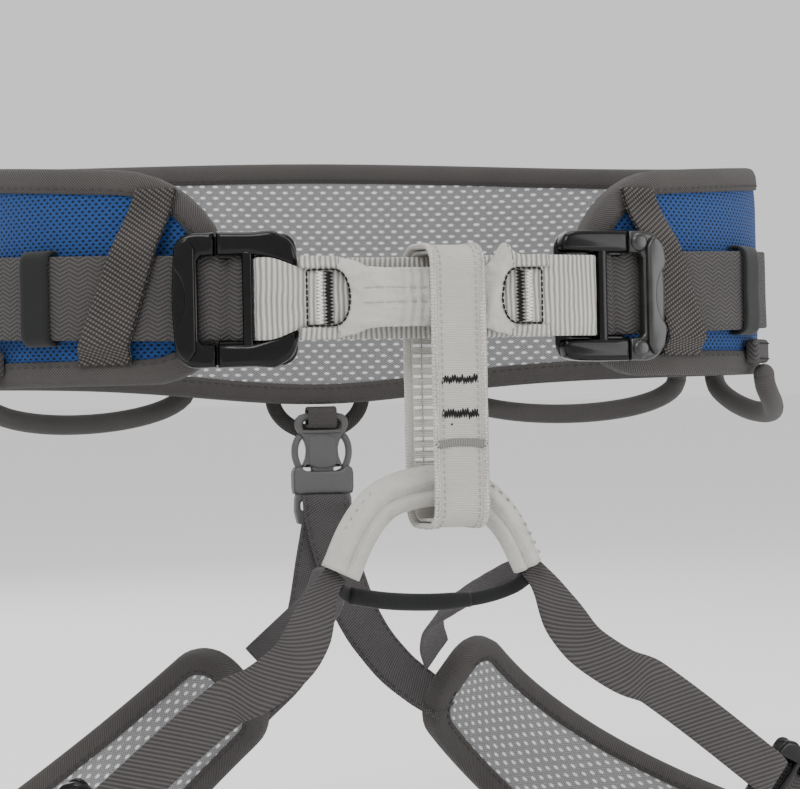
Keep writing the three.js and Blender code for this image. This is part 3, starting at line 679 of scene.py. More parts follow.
    def make(self, name, paint, body, *nodes, mirror=False, sharp=None):
        """The finished object, riding on a CAD body and standing in for these nodes."""
        sign = -1 if mirror else 1
        mesh = bpy.data.meshes.new(name)
        mesh.from_pydata([(sign * v.x * MM, v.y * MM, v.z * MM) for v in self.verts], [], self.faces)
        layer = mesh.uv_layers.new(name="Weave")
        corners = [uv for face in self.uvs for uv in face]
        for corner, uv in zip(layer.data, corners):
            corner.uv = uv
        work = bmesh.new()
        work.from_mesh(mesh)
        bmesh.ops.remove_doubles(work, verts=work.verts, dist=1e-7)
        bmesh.ops.recalc_face_normals(work, faces=work.faces)
        work.to_mesh(mesh)
        work.free()
        mesh.shade_smooth()
        if sharp:
            mesh.set_sharp_from_angle(angle=math.radians(sharp))
        mesh.materials.append(PAINT[paint])
        piece = bpy.data.objects.new(name, mesh)
        bpy.context.collection.objects.link(piece)
        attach(piece, body)
        if nodes:
            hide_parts(*nodes)
        return piece


def wound(points, sign):
    """The outline as 2D vectors, anticlockwise for sign 1 and clockwise for -1."""
    points = [Vector(p).to_2d() for p in points]
    area = sum(a.x * b.y - b.x * a.y for a, b in zip(points, points[1:] + points[:1]))
    return points if area * sign > 0 else points[::-1]


def inset_loop(points, distance):
    """A closed outline moved to its own left."""
    result = []
    for i, point in enumerate(points):
        before = (point - points[i - 1]).normalized()
        after = (points[(i + 1) % len(points)] - point).normalized()
        first = Vector((-before.y, before.x))
        second = Vector((-after.y, after.x))
        middle = (first + second).normalized()
        result.append(point + middle * (distance / max(0.5, middle.dot(first))))
    return result


def arc(x, y, radius_x, radius_y, start, end, steps):
    """Points on an oval about (x, y), from one angle in degrees to another."""
    result = []
    for i in range(steps + 1):
        angle = math.radians(start + (end - start) * i / steps)
        result.append((x + radius_x * math.cos(angle), y + radius_y * math.sin(angle)))
    return result


def rounded_box(x0, y0, x1, y1, radius, steps=5):
    corners = ((x1, y0, -90), (x1, y1, 0), (x0, y1, 90), (x0, y0, 180))
    result = []
    for x, y, start in corners:
        inner_x = x - radius if x == x1 else x + radius
        inner_y = y - radius if y == y1 else y + radius
        result += arc(inner_x, inner_y, radius, radius, start, start + 90, steps)
    return result


def smoothstep(value, low, high):
    t = max(0.0, min(1.0, (value - low) / (high - low)))
    return t * t * (3 - 2 * t)


def bell(x, width):
    """1 at x = 0, falling smoothly to 0 on both sides."""
    return math.exp(-((x / width) ** 2))


# ---- Pads ----


class Pad:
    """A padded band laid out flat, with rounded corners."""

    CORNER = 9

    def __init__(self, start, end, high, low, upper_round, lower_round, rim, middle_count):
        self.start, self.end = start, end
        self.top, self.bottom = high, low
        self.upper_round, self.lower_round = upper_round, lower_round
        self.rim = rim
        self.middle_count = middle_count

    def columns(self, inset):
        reach = max(self.upper_round, self.lower_round) - inset
        corner = [reach * (1 - math.cos(math.pi / 2 * i / self.CORNER)) for i in range(self.CORNER + 1)]
        low, high = self.start + inset, self.end - inset
        span = high - low - 2 * reach
        middle = [low + reach + span * i / self.middle_count for i in range(1, self.middle_count)]
        return [low + t for t in corner] + middle + [high - t for t in reversed(corner)]

    def cut(self, s, inset, radius):
        r = radius - inset
        t = max(0.0, min(s - self.start - inset, self.end - inset - s))
        return 0.0 if t >= r else r - math.sqrt(r * r - (r - t) ** 2)

    def high(self, s, inset):
        return self.top(s) - inset - self.cut(s, inset, self.upper_round)

    def low(self, s, inset):
        return self.bottom(s) + inset + self.cut(s, inset, self.lower_round)

    def outline(self, inset):
        columns = self.columns(inset)
        bottom = [(s, self.low(s, inset)) for s in columns]
        top = [(s, self.high(s, inset)) for s in columns]
        return bottom + top[::-1]


CLOTH_FRAMES = 20
CLOTH_PRESSURE = 3.0


def swell(piece, held, cap):
    """Inflates a pad by cloth simulation, and limits how far any point moves."""
    start = [v.co.copy() for v in piece.data.vertices]
    group = piece.vertex_groups.new(name="held")
    group.add(held, 1.0, "REPLACE")
    cloth = piece.modifiers.new("swell", "CLOTH")
    cloth.settings.use_pressure = True
    cloth.settings.uniform_pressure_force = CLOTH_PRESSURE
    cloth.settings.vertex_group_mass = "held"
    cloth.settings.effector_weights.gravity = 0
    cloth.settings.quality = 4
    cloth.point_cache.frame_start = 1
    cloth.point_cache.frame_end = CLOTH_FRAMES
    scene = bpy.context.scene
    for frame_number in range(1, CLOTH_FRAMES + 1):
        scene.frame_set(frame_number)
        bpy.context.view_layer.update()
    graph = bpy.context.evaluated_depsgraph_get()
    shaped = piece.evaluated_get(graph).to_mesh()
    moved = [v.co.copy() for v in shaped.vertices]
    piece.evaluated_get(graph).to_mesh_clear()
    piece.modifiers.remove(cloth)
    piece.vertex_groups.remove(group)
    for vertex, before, after in zip(piece.data.vertices, start, moved):
        step = after - before
        if step.length > cap:
            step = step * (cap / step.length)
        vertex.co = before + step
    piece.data.update()
    scene.frame_set(1)


def pad_cover(name, pad, place, face, back, rows, paint, body, nodes, crown, held_rows=None, **options):
    """One side of a pad: a closed cushion between the pad's middle and its cloth face, crowned outwards.

    held_rows(s, h) tells where a strap holds the face down.
    """
    inset = pad.rim * 0.45
    columns = pad.columns(inset)
    piece = Piece()
    grid = []
    uvs = []
    for level in (face, back):
        for s in columns:
            low, high = pad.low(s, inset), pad.high(s, inset)
            for j in range(rows + 1):
                share = j / rows
                h = low + (high - low) * share
                edge = min(share, 1 - share) * (high - low)
                end = min(s - columns[0], columns[-1] - s)
                rise = smoothstep(min(edge, end + 3), 0, 12) if level == face else 0
                grid.append(place(s, level + (crown * 0.5 * rise), h))
                uvs.append((s, h))
    count = len(columns)
    half = count * (rows + 1)
    index = lambda i, j, k=0: k * half + i * (rows + 1) + j
    faces = []
    for i in range(count - 1):
        for j in range(rows):
            faces.append([index(i, j), index(i + 1, j), index(i + 1, j + 1), index(i, j + 1)])
            faces.append([index(i, j, 1), index(i, j + 1, 1), index(i + 1, j + 1, 1), index(i + 1, j, 1)])
    rim = [(i, 0) for i in range(count)] + [(count - 1, j) for j in range(1, rows + 1)]
    rim += [(i, rows) for i in range(count - 2, -1, -1)] + [(0, j) for j in range(rows - 1, 0, -1)]
    for (i, j), (m, n) in zip(rim, rim[1:] + rim[:1]):
        faces.append([index(i, j), index(i, j, 1), index(m, n, 1), index(m, n)])
    piece.add(grid, faces, [[uvs[i] for i in quad] for quad in faces])
    made = piece.make(name, paint, body, *nodes, **options)
    held = set(range(half, 2 * half)) | {index(i, j) for i, j in rim}
    if held_rows:
        held |= {i for i in range(half) if held_rows(*uvs[i])}
    swell(made, sorted(held), abs(crown) * 0.6 * MM)
    return made


def pad_rim(name, pad, place, levels, paint, body, node, **options):
    """The folded tape round a pad's edge, gripped tighter than the pad."""
    inner, outer = levels
    middle = (inner + outer) / 2
    rim = pad.rim
    half_section = [(1.0, 0.05), (0.72, 0.2), (0.4, 0.1), (0.16, -0.7), (0.05, -1.7), (0.0, -3.0)]
    section = [(rim * a, outer + b) for a, b in half_section]
    section += [(0.0, middle)]
    section += [(rim * a, inner - b) for a, b in reversed(half_section)]
    section += [(rim * 1.03, inner + 1.4), (rim * 1.0, middle), (rim * 1.03, outer - 1.4)]
    lines = {}
    for inset, _ in section:
        if inset not in lines:
            lines[inset] = pad.outline(inset)
    count = len(lines[section[0][0]])
    around = len(section)
    verts, lengths = [], [0.0]
    previous = None
    base = lines[0.0]
    for i in range(count):
        here = place(base[i][0], middle, base[i][1])
        if previous is not None:
            lengths.append(lengths[-1] + (here - previous).length)
        previous = here
        for inset, d in section:
            s, h = lines[inset][i]
            point = place(s, d, h)
            outward = (place(s, d + 1, h) - point) * (1 if d > middle else -1)
            pucker = 0.22 * noise.noise(Vector((lengths[-1] * 0.32, inset * 0.2, d * 0.1)))
            verts.append(point + outward * pucker)
    lengths.append(lengths[-1] + 8)
    spans = [0.0]
    for (a, b), (c, d) in zip(section, section[1:] + section[:1]):
        spans.append(spans[-1] + math.hypot(c - a, d - b))
    uvs = []
    for u0, u1 in zip(lengths, lengths[1:]):
        for v0, v1 in zip(spans, spans[1:]):
            uvs.append([(u0, v0), (u1, v0), (u1, v1), (u0, v1)])
    piece = Piece()
    piece.add(verts, ring_quads(count, around, closed=True), uvs)
    made = piece.make(name, paint, body, node, **options)
    threads = Piece()
    for level, sign in ((outer + 0.15, 1), (inner - 0.15, -1)):
        line = pad.outline(rim * 0.82)
        points = [place(s, level, h) for s, h in line]
        outs = [(place(s, level + sign, h) - p) for (s, h), p in zip(line, points)]
        threads.seam(points, outs, 2.6, 1.0, 0.26)
    threads.make(f"{name}_stitching", "slate_thread", body, **options)
    return made


# ---- Waist belt ----

STRAP_BASE = 10.9
WEBBING_WIDTH = 29
WEBBING_TAIL = 84
PAD_SHIFT = 5
PAD_FRONT_GAP = 60
BINDING = 8.6
waist = Loop(146, 101, 2.4, 0, PAD_SHIFT)
HALF_WAIST = waist.length / 2
BODY = "harness"


def backness(s):
    """1 at the middle of the back, falling to 0 at the middle of the front."""
    return (1 + math.cos(math.pi * s / HALF_WAIST)) / 2


def webbing_height(s):
    return 12 * backness(s)


waist_pad = Pad(
    start=-(HALF_WAIST - PAD_FRONT_GAP), end=HALF_WAIST - PAD_FRONT_GAP,
    high=lambda s: 42.5 + 25.5 * backness(s), low=lambda s: -28 - 8.5 * bell(s, 70),
    upper_round=36, lower_round=27, rim=BINDING, middle_count=126,
)


def waist_station(side, x, d):
    """The distance round the waist, on this side's front, at which a point d outwards lies at x."""
    low, high = HALF_WAIST * 0.7, HALF_WAIST
    for _ in range(40):
        middle = (low + high) / 2
        if side * waist.place(side * middle - PAD_SHIFT, d, 0).x > x:
            low = middle
        else:
            high = middle
    return side * low - PAD_SHIFT


BUCKLE_X, BUCKLE_OUT = 65.5, 15
BUCKLE_AT = {side: waist_station(side, BUCKLE_X, BUCKLE_OUT) for side in (1, -1)}


def doubled_back(buckle, k, base, tail):
    """The strap's path at a buckle, from the tip of its tail, round the bar and back under the frame."""
    level = base + 3.4 * k
    tip, slope = buckle - tail, buckle - 12.5 * k
    run = [(tip + (slope - tip) * i / 8, level) for i in range(9)]
    over_bar = ((9.2, 4.6), (6.2, 4.8), (3.0, 3.0), (0.6, 4.7), (-0.6, 5.2))
    run += [(buckle - x * k, base + lift * k) for x, lift in over_bar]
    return run + arc(buckle + 2.7 * k, base + 3.1 * k, 2.1 * k, 2.1 * k, 90, -90, 5)


def add_waist():
    under = lambda s, h: abs(h - webbing_height(s)) < WEBBING_WIDTH / 2 - 2
    pad_cover("waist_lining_cushion", waist_pad, waist.place, 0.4, 5, 18, "lining", BODY,
              ("waist_lining", "waist_foam"), -1.8)
    pad_cover("waist_outer_cushion", waist_pad, waist.place, 9.3, 5.1, 18, "blue", BODY,
              ("waist_shell",), 1.4, held_rows=under)
    pad_rim("waist_edge_tape", waist_pad, waist.place, (-0.5, 10.5), "twill", BODY, "waist_binding")

    ends = {}
    for side in (1, -1):
        path = doubled_back(side * BUCKLE_AT[side], 1, STRAP_BASE, WEBBING_TAIL)
        ends[side] = [(side * s, d) for s, d in path]
    start, end = ends[-1][-1][0], ends[1][-1][0]
    sewn = [(start + (end - start) * i / 70, STRAP_BASE + 1) for i in range(1, 70)]
    flat = ends[-1] + sewn + ends[1][::-1]
    points = [waist.place(s, d, webbing_height(s)) for s, d in flat]
    webbing = Piece().strap(smooth_path(points, 3), WEBBING_WIDTH, 1.9, UP, ripple=0.12)
    webbing.make("waist_belt_webbing", "herringbone", BODY, "waist_webbing")

    for side, name in SIDES:
        add_diagonal_tape(side, name)
        add_tail_keeper(side, name)


TAPE_FROM_END = 34
TAPE_LEAN = 0.31
TAPE_WIDTH = 17


def add_diagonal_tape(side, name):
    """The tape that crosses over the webbing and is sewn to the pad above and below it."""
    middle = waist_pad.end - TAPE_FROM_END
    lift = webbing_height(middle)
    over, on = STRAP_BASE + 5.2, STRAP_BASE
    half = WEBBING_WIDTH / 2 + 0.7
    top = waist_pad.top(middle) - BINDING + 1.5
    bottom = waist_pad.bottom(middle) + BINDING - 1.5
    steps = 44
    stations = []
    for i in range(steps + 1):
        h = bottom + (top - bottom) * i / steps
        fall = smoothstep(h - lift, half, half + 17) + smoothstep(lift - h, half, half + 6.5)
        d = over + (on - over) * fall
        s = side * (middle + TAPE_LEAN * (h - lift))
        point = waist.place(s, d + 0.6, h)
        across = (waist.place(s + side, d + 0.6, h) - point).normalized()
        outward = (waist.place(s, d + 1.6, h) - point).normalized()
        stations.append((point, across, outward))
    widen = lambda t: 1.16 - 0.3 * t
    section = strap_section(TAPE_WIDTH, 1.1, 6)
    tape = Piece().sweep(stations, section, ripple=0.15, scale=lambda t, point: (widen(t), 1))
    tape.make(f"diagonal_tape_cloth_{name}", "coarse_twill", BODY, f"diagonal_tape_{name}")
    # A seam along one edge only, drawn dark and nearly continuous as the painted shadow along that edge of
    # the tape.
    threads = Piece()
    line = [p + a * (8.2 * widen(i / steps)) + o * 0.45 for i, (p, a, o) in enumerate(stations)]
    threads.seam(line, [o for _, _, o in stations], 2.2, 0.2, 0.3)
    threads.make(f"diagonal_tape_edge_shadow_seam_{name}", "black_thread", BODY)


KEEPER_FROM_BUCKLE = 68
CAD_STEP = 12


def add_tail_keeper(side, name):
    """An elastic band round the webbing, midway between two of the CAD's stations."""
    wanted = side * BUCKLE_AT[side] - KEEPER_FROM_BUCKLE
    middle = side * (round(wanted / CAD_STEP + 0.5) * CAD_STEP - CAD_STEP / 2)
    inner, base = WEBBING_WIDTH / 2 + 0.6, STRAP_BASE
    lift = webbing_height(middle)
    line = [(-inner - 0.7, base - 0.2), (-inner - 0.7, base + 3), (-inner + 1.5, base + 5.6), (0, base + 5.8),
            (inner - 1.5, base + 5.6), (inner + 0.7, base + 3), (inner + 0.7, base - 0.2)]
    path = smooth_path([waist.place(middle, d, h + lift) for h, d in line], 1.2)
    sideways = (waist.place(middle + 1, base, 0) - waist.place(middle, base, 0)).normalized()
    Piece().strap(path, 12, 1.2, sideways, columns=6).make(
        f"tail_keeper_elastic_{name}", "elastic", BODY, f"tail_keeper_{name}")


# ---- Buckles ----


def buckle_place(surface, station, k, base, side):
    """place(x, z, d) at a buckle: x away from the front centre, z up, d outwards."""
    foot = surface.place(station, base, 0)
    outward = (surface.place(station, base + 1, 0) - foot).normalized()
    away = Vector((-outward.y, outward.x, 0))
    return lambda x, z, d: foot + (away * (side * x) + UP * z + outward * d) * k


def add_buckle(place, prefix, name, body, lever_body, beak=True, lugs=False, handle="gloss", **options):
    """A thick glossy frame with a bar across it, and a rounded handle with a thumb scoop.

    The frame's rails end in a hook if beak, and the handle has round bosses if lugs.
    """
    frame_piece = Piece()
    left_edge = arc(-15, 16.8, 5.5, 5.5, 90, 180, 6) + arc(-15, -16.8, 5.5, 5.5, 180, 270, 6)
    outline = left_edge + [
        (6.2, -22.3), (6.2, -13.7), (-14.2, -13.7), (-14.2, 13.7), (6.2, 13.7), (6.2, 22.3)]
    frame_piece.plate(outline, [], 2.5, 5.4, 1.0, place)
    square = [(-6, 14.9), (0, 14.9), (6.2, 14.9), (6.2, 22.9), (-9, 22.8), (-15.6, 22.4), (-18.4, 21.4),
              (-19.8, 19), (-20, 16.6), (-18.8, 15.2)]
    hooked = [(-5.4, 14.8), (0, 14.9), (6.2, 14.9), (6.2, 22.9), (-6, 22.7), (-12.6, 23.1), (-15, 22),
              (-18.6, 19.6), (-20.2, 16.4), (-21.0, 11.2), (-20, 10.2), (-14, 12.3)]
    rail = hooked if beak else square
    for sign in (1, -1):
        curved = smooth_path([(x, sign * z, 0) for x, z in rail[3:] + rail[:2]], 1.2)
        curved.append(Vector((rail[2][0], sign * rail[2][1], 0)))
        frame_piece.plate(curved, [], 3.0, 9.7, 2.0, place, steps=5)
        under_pivot = [(5, sign * 14.5), (9.5, sign * 14.5), (9.5, sign * 21.9), (5, sign * 21.9)]
        frame_piece.plate(under_pivot, [], 2.4, 3.6, 0.4, place)
    frame_piece.plate(rounded_box(-5.9, -16.6, -2.3, 16.6, 1.1, 3), [], 6.2, 9.4, 1.2, place)
    frame_piece.make(f"{prefix}_buckle_body_{name}", "gloss", body, f"{prefix}_buckle_frame_{name}",
                     sharp=60, **options)

    lever = Piece()
    outer = [(6.9, 22.7)] + arc(13.2, 14.6, 8.2, 8.2, 90, 28, 7)
    outer = outer + [(21.2, 8), (21.5, 0), (21.2, -8)] + [(x, -z) for x, z in reversed(outer)]
    inner = [(6.9, -15.0), (11.4, -14.8), (12.6, -13.2), (12.6, 13.2), (11.4, 14.8), (6.9, 15.0)]
    hull = smooth_path([(x, z, 0) for x, z in outer], 1.6) + [Vector((x, z, 0)) for x, z in inner]
    lever.plate(hull, [], 4.4, 9.3, 1.7, place, steps=4)
    crest = [(13.4, 17.2), (14.8, 19.4)] + arc(13.4, 14.4, 7.0, 7.0, 66, 20, 5) + [(20.7, 11)]
    scoop = [(18.6, 7.6), (17.3, 4), (16.9, 0), (17.3, -4), (18.6, -7.6)]
    crest = crest + scoop + [(x, -z) for x, z in reversed(crest)]
    crest = smooth_path([(x, z, 0) for x, z in crest], 1.2)
    lever.plate(crest, [], 8.2, 11.0, 1.0, place, steps=4)
    for sign in (1, -1) if lugs else ():
        lug = [(10.9 + x, sign * 18.7 + z) for x, z in arc(0, 0, 3.5, 3.5, 0, 345, 23)]
        lever.plate(lug, [], 4.6, 10.4, 1.9, place, steps=4)
    lever.make(f"{prefix}_buckle_handle_{name}", handle, lever_body, f"{prefix}_buckle_lever_{name}",
               sharp=60, **options)


def waist_buckle_place(side):
    return buckle_place(waist, BUCKLE_AT[side], 1, STRAP_BASE, side)


def add_waist_buckles():
    for side, name in SIDES:
        # The wearer's left handle is painted lighter grey as a painted reflection; both handles have the same
        # black finish.
        add_buckle(waist_buckle_place(side), "waist", name, BODY, f"waist_buckle_lever_{name}",
                   beak=side < 0, lugs=side > 0, handle="satin" if side > 0 else "gloss")


# ---- Tie-in bridge and belay loop ----


def add_tie_in():
    """The closed band of webbing from buckle to buckle, drawn on one side and mirrored."""
    place = waist_buckle_place(1)
    around = [(-20.5, 9.8), (-11, 9.8), (-8.0, 9.2), (-7.1, 7.4), (-7.6, 4.6), (-9.6, 2.0), (-13, 1.3),
              (-20.5, 1.3)]
    left = [place(x, 0, d) for x, d in around]
    front, back = left[0].y, left[-1].y
    points = left[::-1] + [Vector((x, front, 0)) for x in (36, 20, 0, -20, -36)]
    points += [Vector((-p.x, p.y, 0)) for p in left]
    points += [Vector((x, back, 0)) for x in (-36, -20, 0, 20, 36)]
    path = smooth_path(points, 1.5, closed=True)

    def narrowed(share, point):
        """The front strand gathers into the sleeve."""
        if point.y > (front + back) / 2 or point.x > 0:
            return 1, 1
        return 1 - 0.33 * (1 - smoothstep(abs(point.x), 41, 57)), 1

    band = Piece().strap(path, 28, 1.7, UP, closed=True, ripple=0.25, columns=10, scale=narrowed)
    band.make("tie_in_band", "pale_rib", BODY, "tie_in_webbing")
    add_sleeve(front - 0.9 - 0.35)


SLEEVE_HALF, SLEEVE_SHIFT = 43.5, -2.4
SLEEVE_COLUMNS, SLEEVE_ROWS = 116, 34
SLEEVE_KNOTS = [(0, 10.0), (14, 10.0), (19, 10.4), (26, 12.7), (32, 14.0), (43.5, 14.2)]
# Each D-shaped window: half its height, where its straight part starts and how far its round end reaches
WINDOW_HALF, WINDOW_FROM, WINDOW_ROUND = 9.4, 31.5, 5


def sleeve_reach(x):
    """Half the sleeve's height."""
    x = abs(x)
    for (a, low), (b, high) in zip(SLEEVE_KNOTS, SLEEVE_KNOTS[1:]):
        if x <= b:
            return low + (high - low) * smoothstep(x, a, b)
    return SLEEVE_KNOTS[-1][1]


def sleeve_top(x):
    """The upper edge, which bunches into a peak on the wearer's left."""
    return sleeve_reach(x) + 5.2 * bell(x - 27.5, 3.2) - 0.8 * bell(x - 19, 4)


def sleeve_bulge(x, z):
    """How far the sleeve's front stands out, with its folds, its twist and the puckers along its edges."""
    top = sleeve_reach(x)
    soft = 0.9 * (1 - min(1.0, abs(z) / top) ** 4)
    middle = 0.5 * smoothstep(30 - abs(x), 0, 16) * math.cos(math.pi * z / 9.5)
    folds = 0.75 * noise.noise(Vector((x * 0.16, z * 0.42, 3.0)))
    folds -= 0.55 * bell(x + 9 + 0.3 * z, 1.2) * smoothstep(abs(z), 10, 2)
    folds += 0.35 * smoothstep(x, -18, -6) * math.sin(x * 1.9 + 0.4 * math.sin(z * 0.6)) * (abs(x) < 18)
    twist = 1.3 * bell(x - 24 - 0.35 * z, 2.6) * smoothstep(x, 8, 20)
    puckers = 0.35 * smoothstep(abs(z) / top, 0.6, 1.0) * math.sin(x * 2.1 + z)
    return 0.5 + soft + middle * 0.6 + folds + puckers * 0.8 + twist


def in_window(x, z):
    x = abs(x)
    if abs(z) > WINDOW_HALF:
        return False
    return x > WINDOW_FROM or ((WINDOW_FROM - x) / WINDOW_ROUND) ** 2 + (z / WINDOW_HALF) ** 2 < 1


def to_border(x, z):
    """A point in a window, moved out to the window's border."""
    sign, x = math.copysign(1, x), abs(x)
    if x > WINDOW_FROM:
        return sign * x, math.copysign(WINDOW_HALF, z)
    dx, dz = (WINDOW_FROM - x) / WINDOW_ROUND, z / WINDOW_HALF
    size = max(1e-6, math.hypot(dx, dz))
    return sign * (WINDOW_FROM - WINDOW_ROUND * dx / size), WINDOW_HALF * dz / size


def sleeve_grid():
    """The sleeve laid out flat: its points, and its quads with the windows left out."""
    xs = [-SLEEVE_HALF + 2 * SLEEVE_HALF * i / SLEEVE_COLUMNS for i in range(SLEEVE_COLUMNS + 1)]
    flat = []
    for x in xs:
        reach = sleeve_reach(x)
        for j in range(SLEEVE_ROWS + 1):
            share = 2 * j / SLEEVE_ROWS - 1
            high = sleeve_top(x) if share > 0.7 else reach
            flat.append((x, reach * share + (high - reach) * smoothstep(share, 0.7, 1)))
    inside = [in_window(x, z) for x, z in flat]
    index = lambda i, j: i * (SLEEVE_ROWS + 1) + j
    kept = []
    for i in range(SLEEVE_COLUMNS):
        for j in range(SLEEVE_ROWS):
            quad = [index(i, j), index(i + 1, j), index(i + 1, j + 1), index(i, j + 1)]
            if sum(inside[q] for q in quad) <= (2 if abs(xs[i]) < 32 else 0):
                kept.append(quad)
    return [to_border(*p) if hidden else p for p, hidden in zip(flat, inside)], kept


def add_sleeve(back):
    """The butterfly sleeve: a folded cloth in the middle, and wings of ribbed webbing beyond its windows."""
    flat, kept = sleeve_grid()

    def is_wing(quad):
        x = sum(abs(flat[i][0]) for i in quad) / 4
        z = sum(abs(flat[i][1]) for i in quad) / 4
        return x > 41 or (z > 9.0 and x > 29.5 + 0.35 * (14 - z))

    for name, paint, wing, nodes in (("tie_in_butterfly", "sleeve", False, ("tie_in_sleeve",)),
                                     ("tie_in_wings", "pale_rib", True, ())):
        quads = [quad for quad in kept if is_wing(quad) == wing]
        low = 0.35 if wing else 0.0
        used = sorted({i for quad in quads for i in quad})
        number = {i: n for n, i in enumerate(used)}
        count = len(used)
        verts = [Vector((flat[i][0] + SLEEVE_SHIFT, back - sleeve_bulge(*flat[i]) + low, flat[i][1]))
                 for i in used]
        verts += [Vector((flat[i][0] + SLEEVE_SHIFT, back + 0.1, flat[i][1])) for i in used]
        quads = [[number[i] for i in quad] for quad in quads]
        faces = quads + [[i + count for i in reversed(quad)] for quad in quads]
        edges = {(a, b) for quad in quads for a, b in zip(quad, quad[1:] + quad[:1])}
        faces += [[b, a, a + count, b + count] for a, b in sorted(edges) if (b, a) not in edges]
        places = [flat[i] for i in used] * 2
        piece = Piece()
        piece.add(verts, faces, [[places[i] for i in face] for face in faces])
        piece.make(name, paint, BODY, *nodes)
    add_sleeve_threads(back)


def add_sleeve_threads(back):
    """A dark seam round each window, a dark and a white bartack in it, and two grey seams between them."""
    dark, light, crease = Piece(), Piece(), Piece()
    end = WINDOW_FROM + 9.5
    turns = [math.radians(80 - 160 * i / 14) for i in range(15)]
    border = [(end, -WINDOW_HALF), (end, WINDOW_HALF), (WINDOW_FROM, WINDOW_HALF)]
    border += [(WINDOW_FROM - WINDOW_ROUND * math.cos(a), WINDOW_HALF * math.sin(a)) for a in turns]
    border += [(WINDOW_FROM, -WINDOW_HALF), (end, -WINDOW_HALF)]
    proud = lambda p: sleeve_bulge(p.x, p.z) + 0.1 if abs(p.x) < 40 else -0.1
    for side in (1, -1):
        line = [Vector((side * x, 0, z)) for x, z in border]
        line = [p + Vector((SLEEVE_SHIFT, back - proud(p), 0)) for p in line]
        dark.seam(line, [FORWARD] * len(line), 1.9, 0.15, 0.36)
        for threads, x, half_width in ((dark, 33.4, 1.5), (light, 36.5, 1.2)):
            ends = [Vector((side * x + SLEEVE_SHIFT, back + 0.1, z)) for z in (-8.8, 8.8)]
            threads.zigzag(ends, RIGHTWARD, FORWARD, half_width, 1.15, 0.3, wild=0.3)
    for z in (3.2, -1.7):
        line = [Vector((x + SLEEVE_SHIFT, back - sleeve_bulge(x, z) - 0.02,
                        z + 0.3 * noise.noise(Vector((x * 0.1, z, 0))))) for x in range(-22, 23, 2)]
        crease.seam(line, [FORWARD] * len(line), 3.6, 0.3, 0.16)
    dark.make("tie_in_dark_stitching", "black_thread", BODY)
    light.make("tie_in_light_stitching", "white_thread", BODY)
    crease.make("tie_in_sleeve_seams", "grey_thread", BODY)


BELAY = {"x": 7.4, "twist": 4.6, "top": 17.6, "bottom": -78.5, "front": -127.6, "back": -104.8}


def belay_middle(y):
    """The middle of the loop in x, which the twist moves from front to back."""
    return BELAY["x"] + BELAY["twist"] * (BELAY["front"] - y) / (BELAY["back"] - BELAY["front"])


def belay_path(inset, radius):
    y0, y1 = BELAY["front"] + inset, BELAY["back"] - inset
    z0, z1 = BELAY["bottom"] + inset, BELAY["top"] - inset
    flat = rounded_box(y0, z0, y1, z1, radius, 5)
    points = [Vector((belay_middle(y), y, z)) for y, z in flat]
    dense = []
    for a, b in zip(points, points[1:] + points[:1]):
        pieces = max(1, round((b - a).length / 2))
        dense += [a.lerp(b, k / pieces) for k in range(pieces)]
    return dense


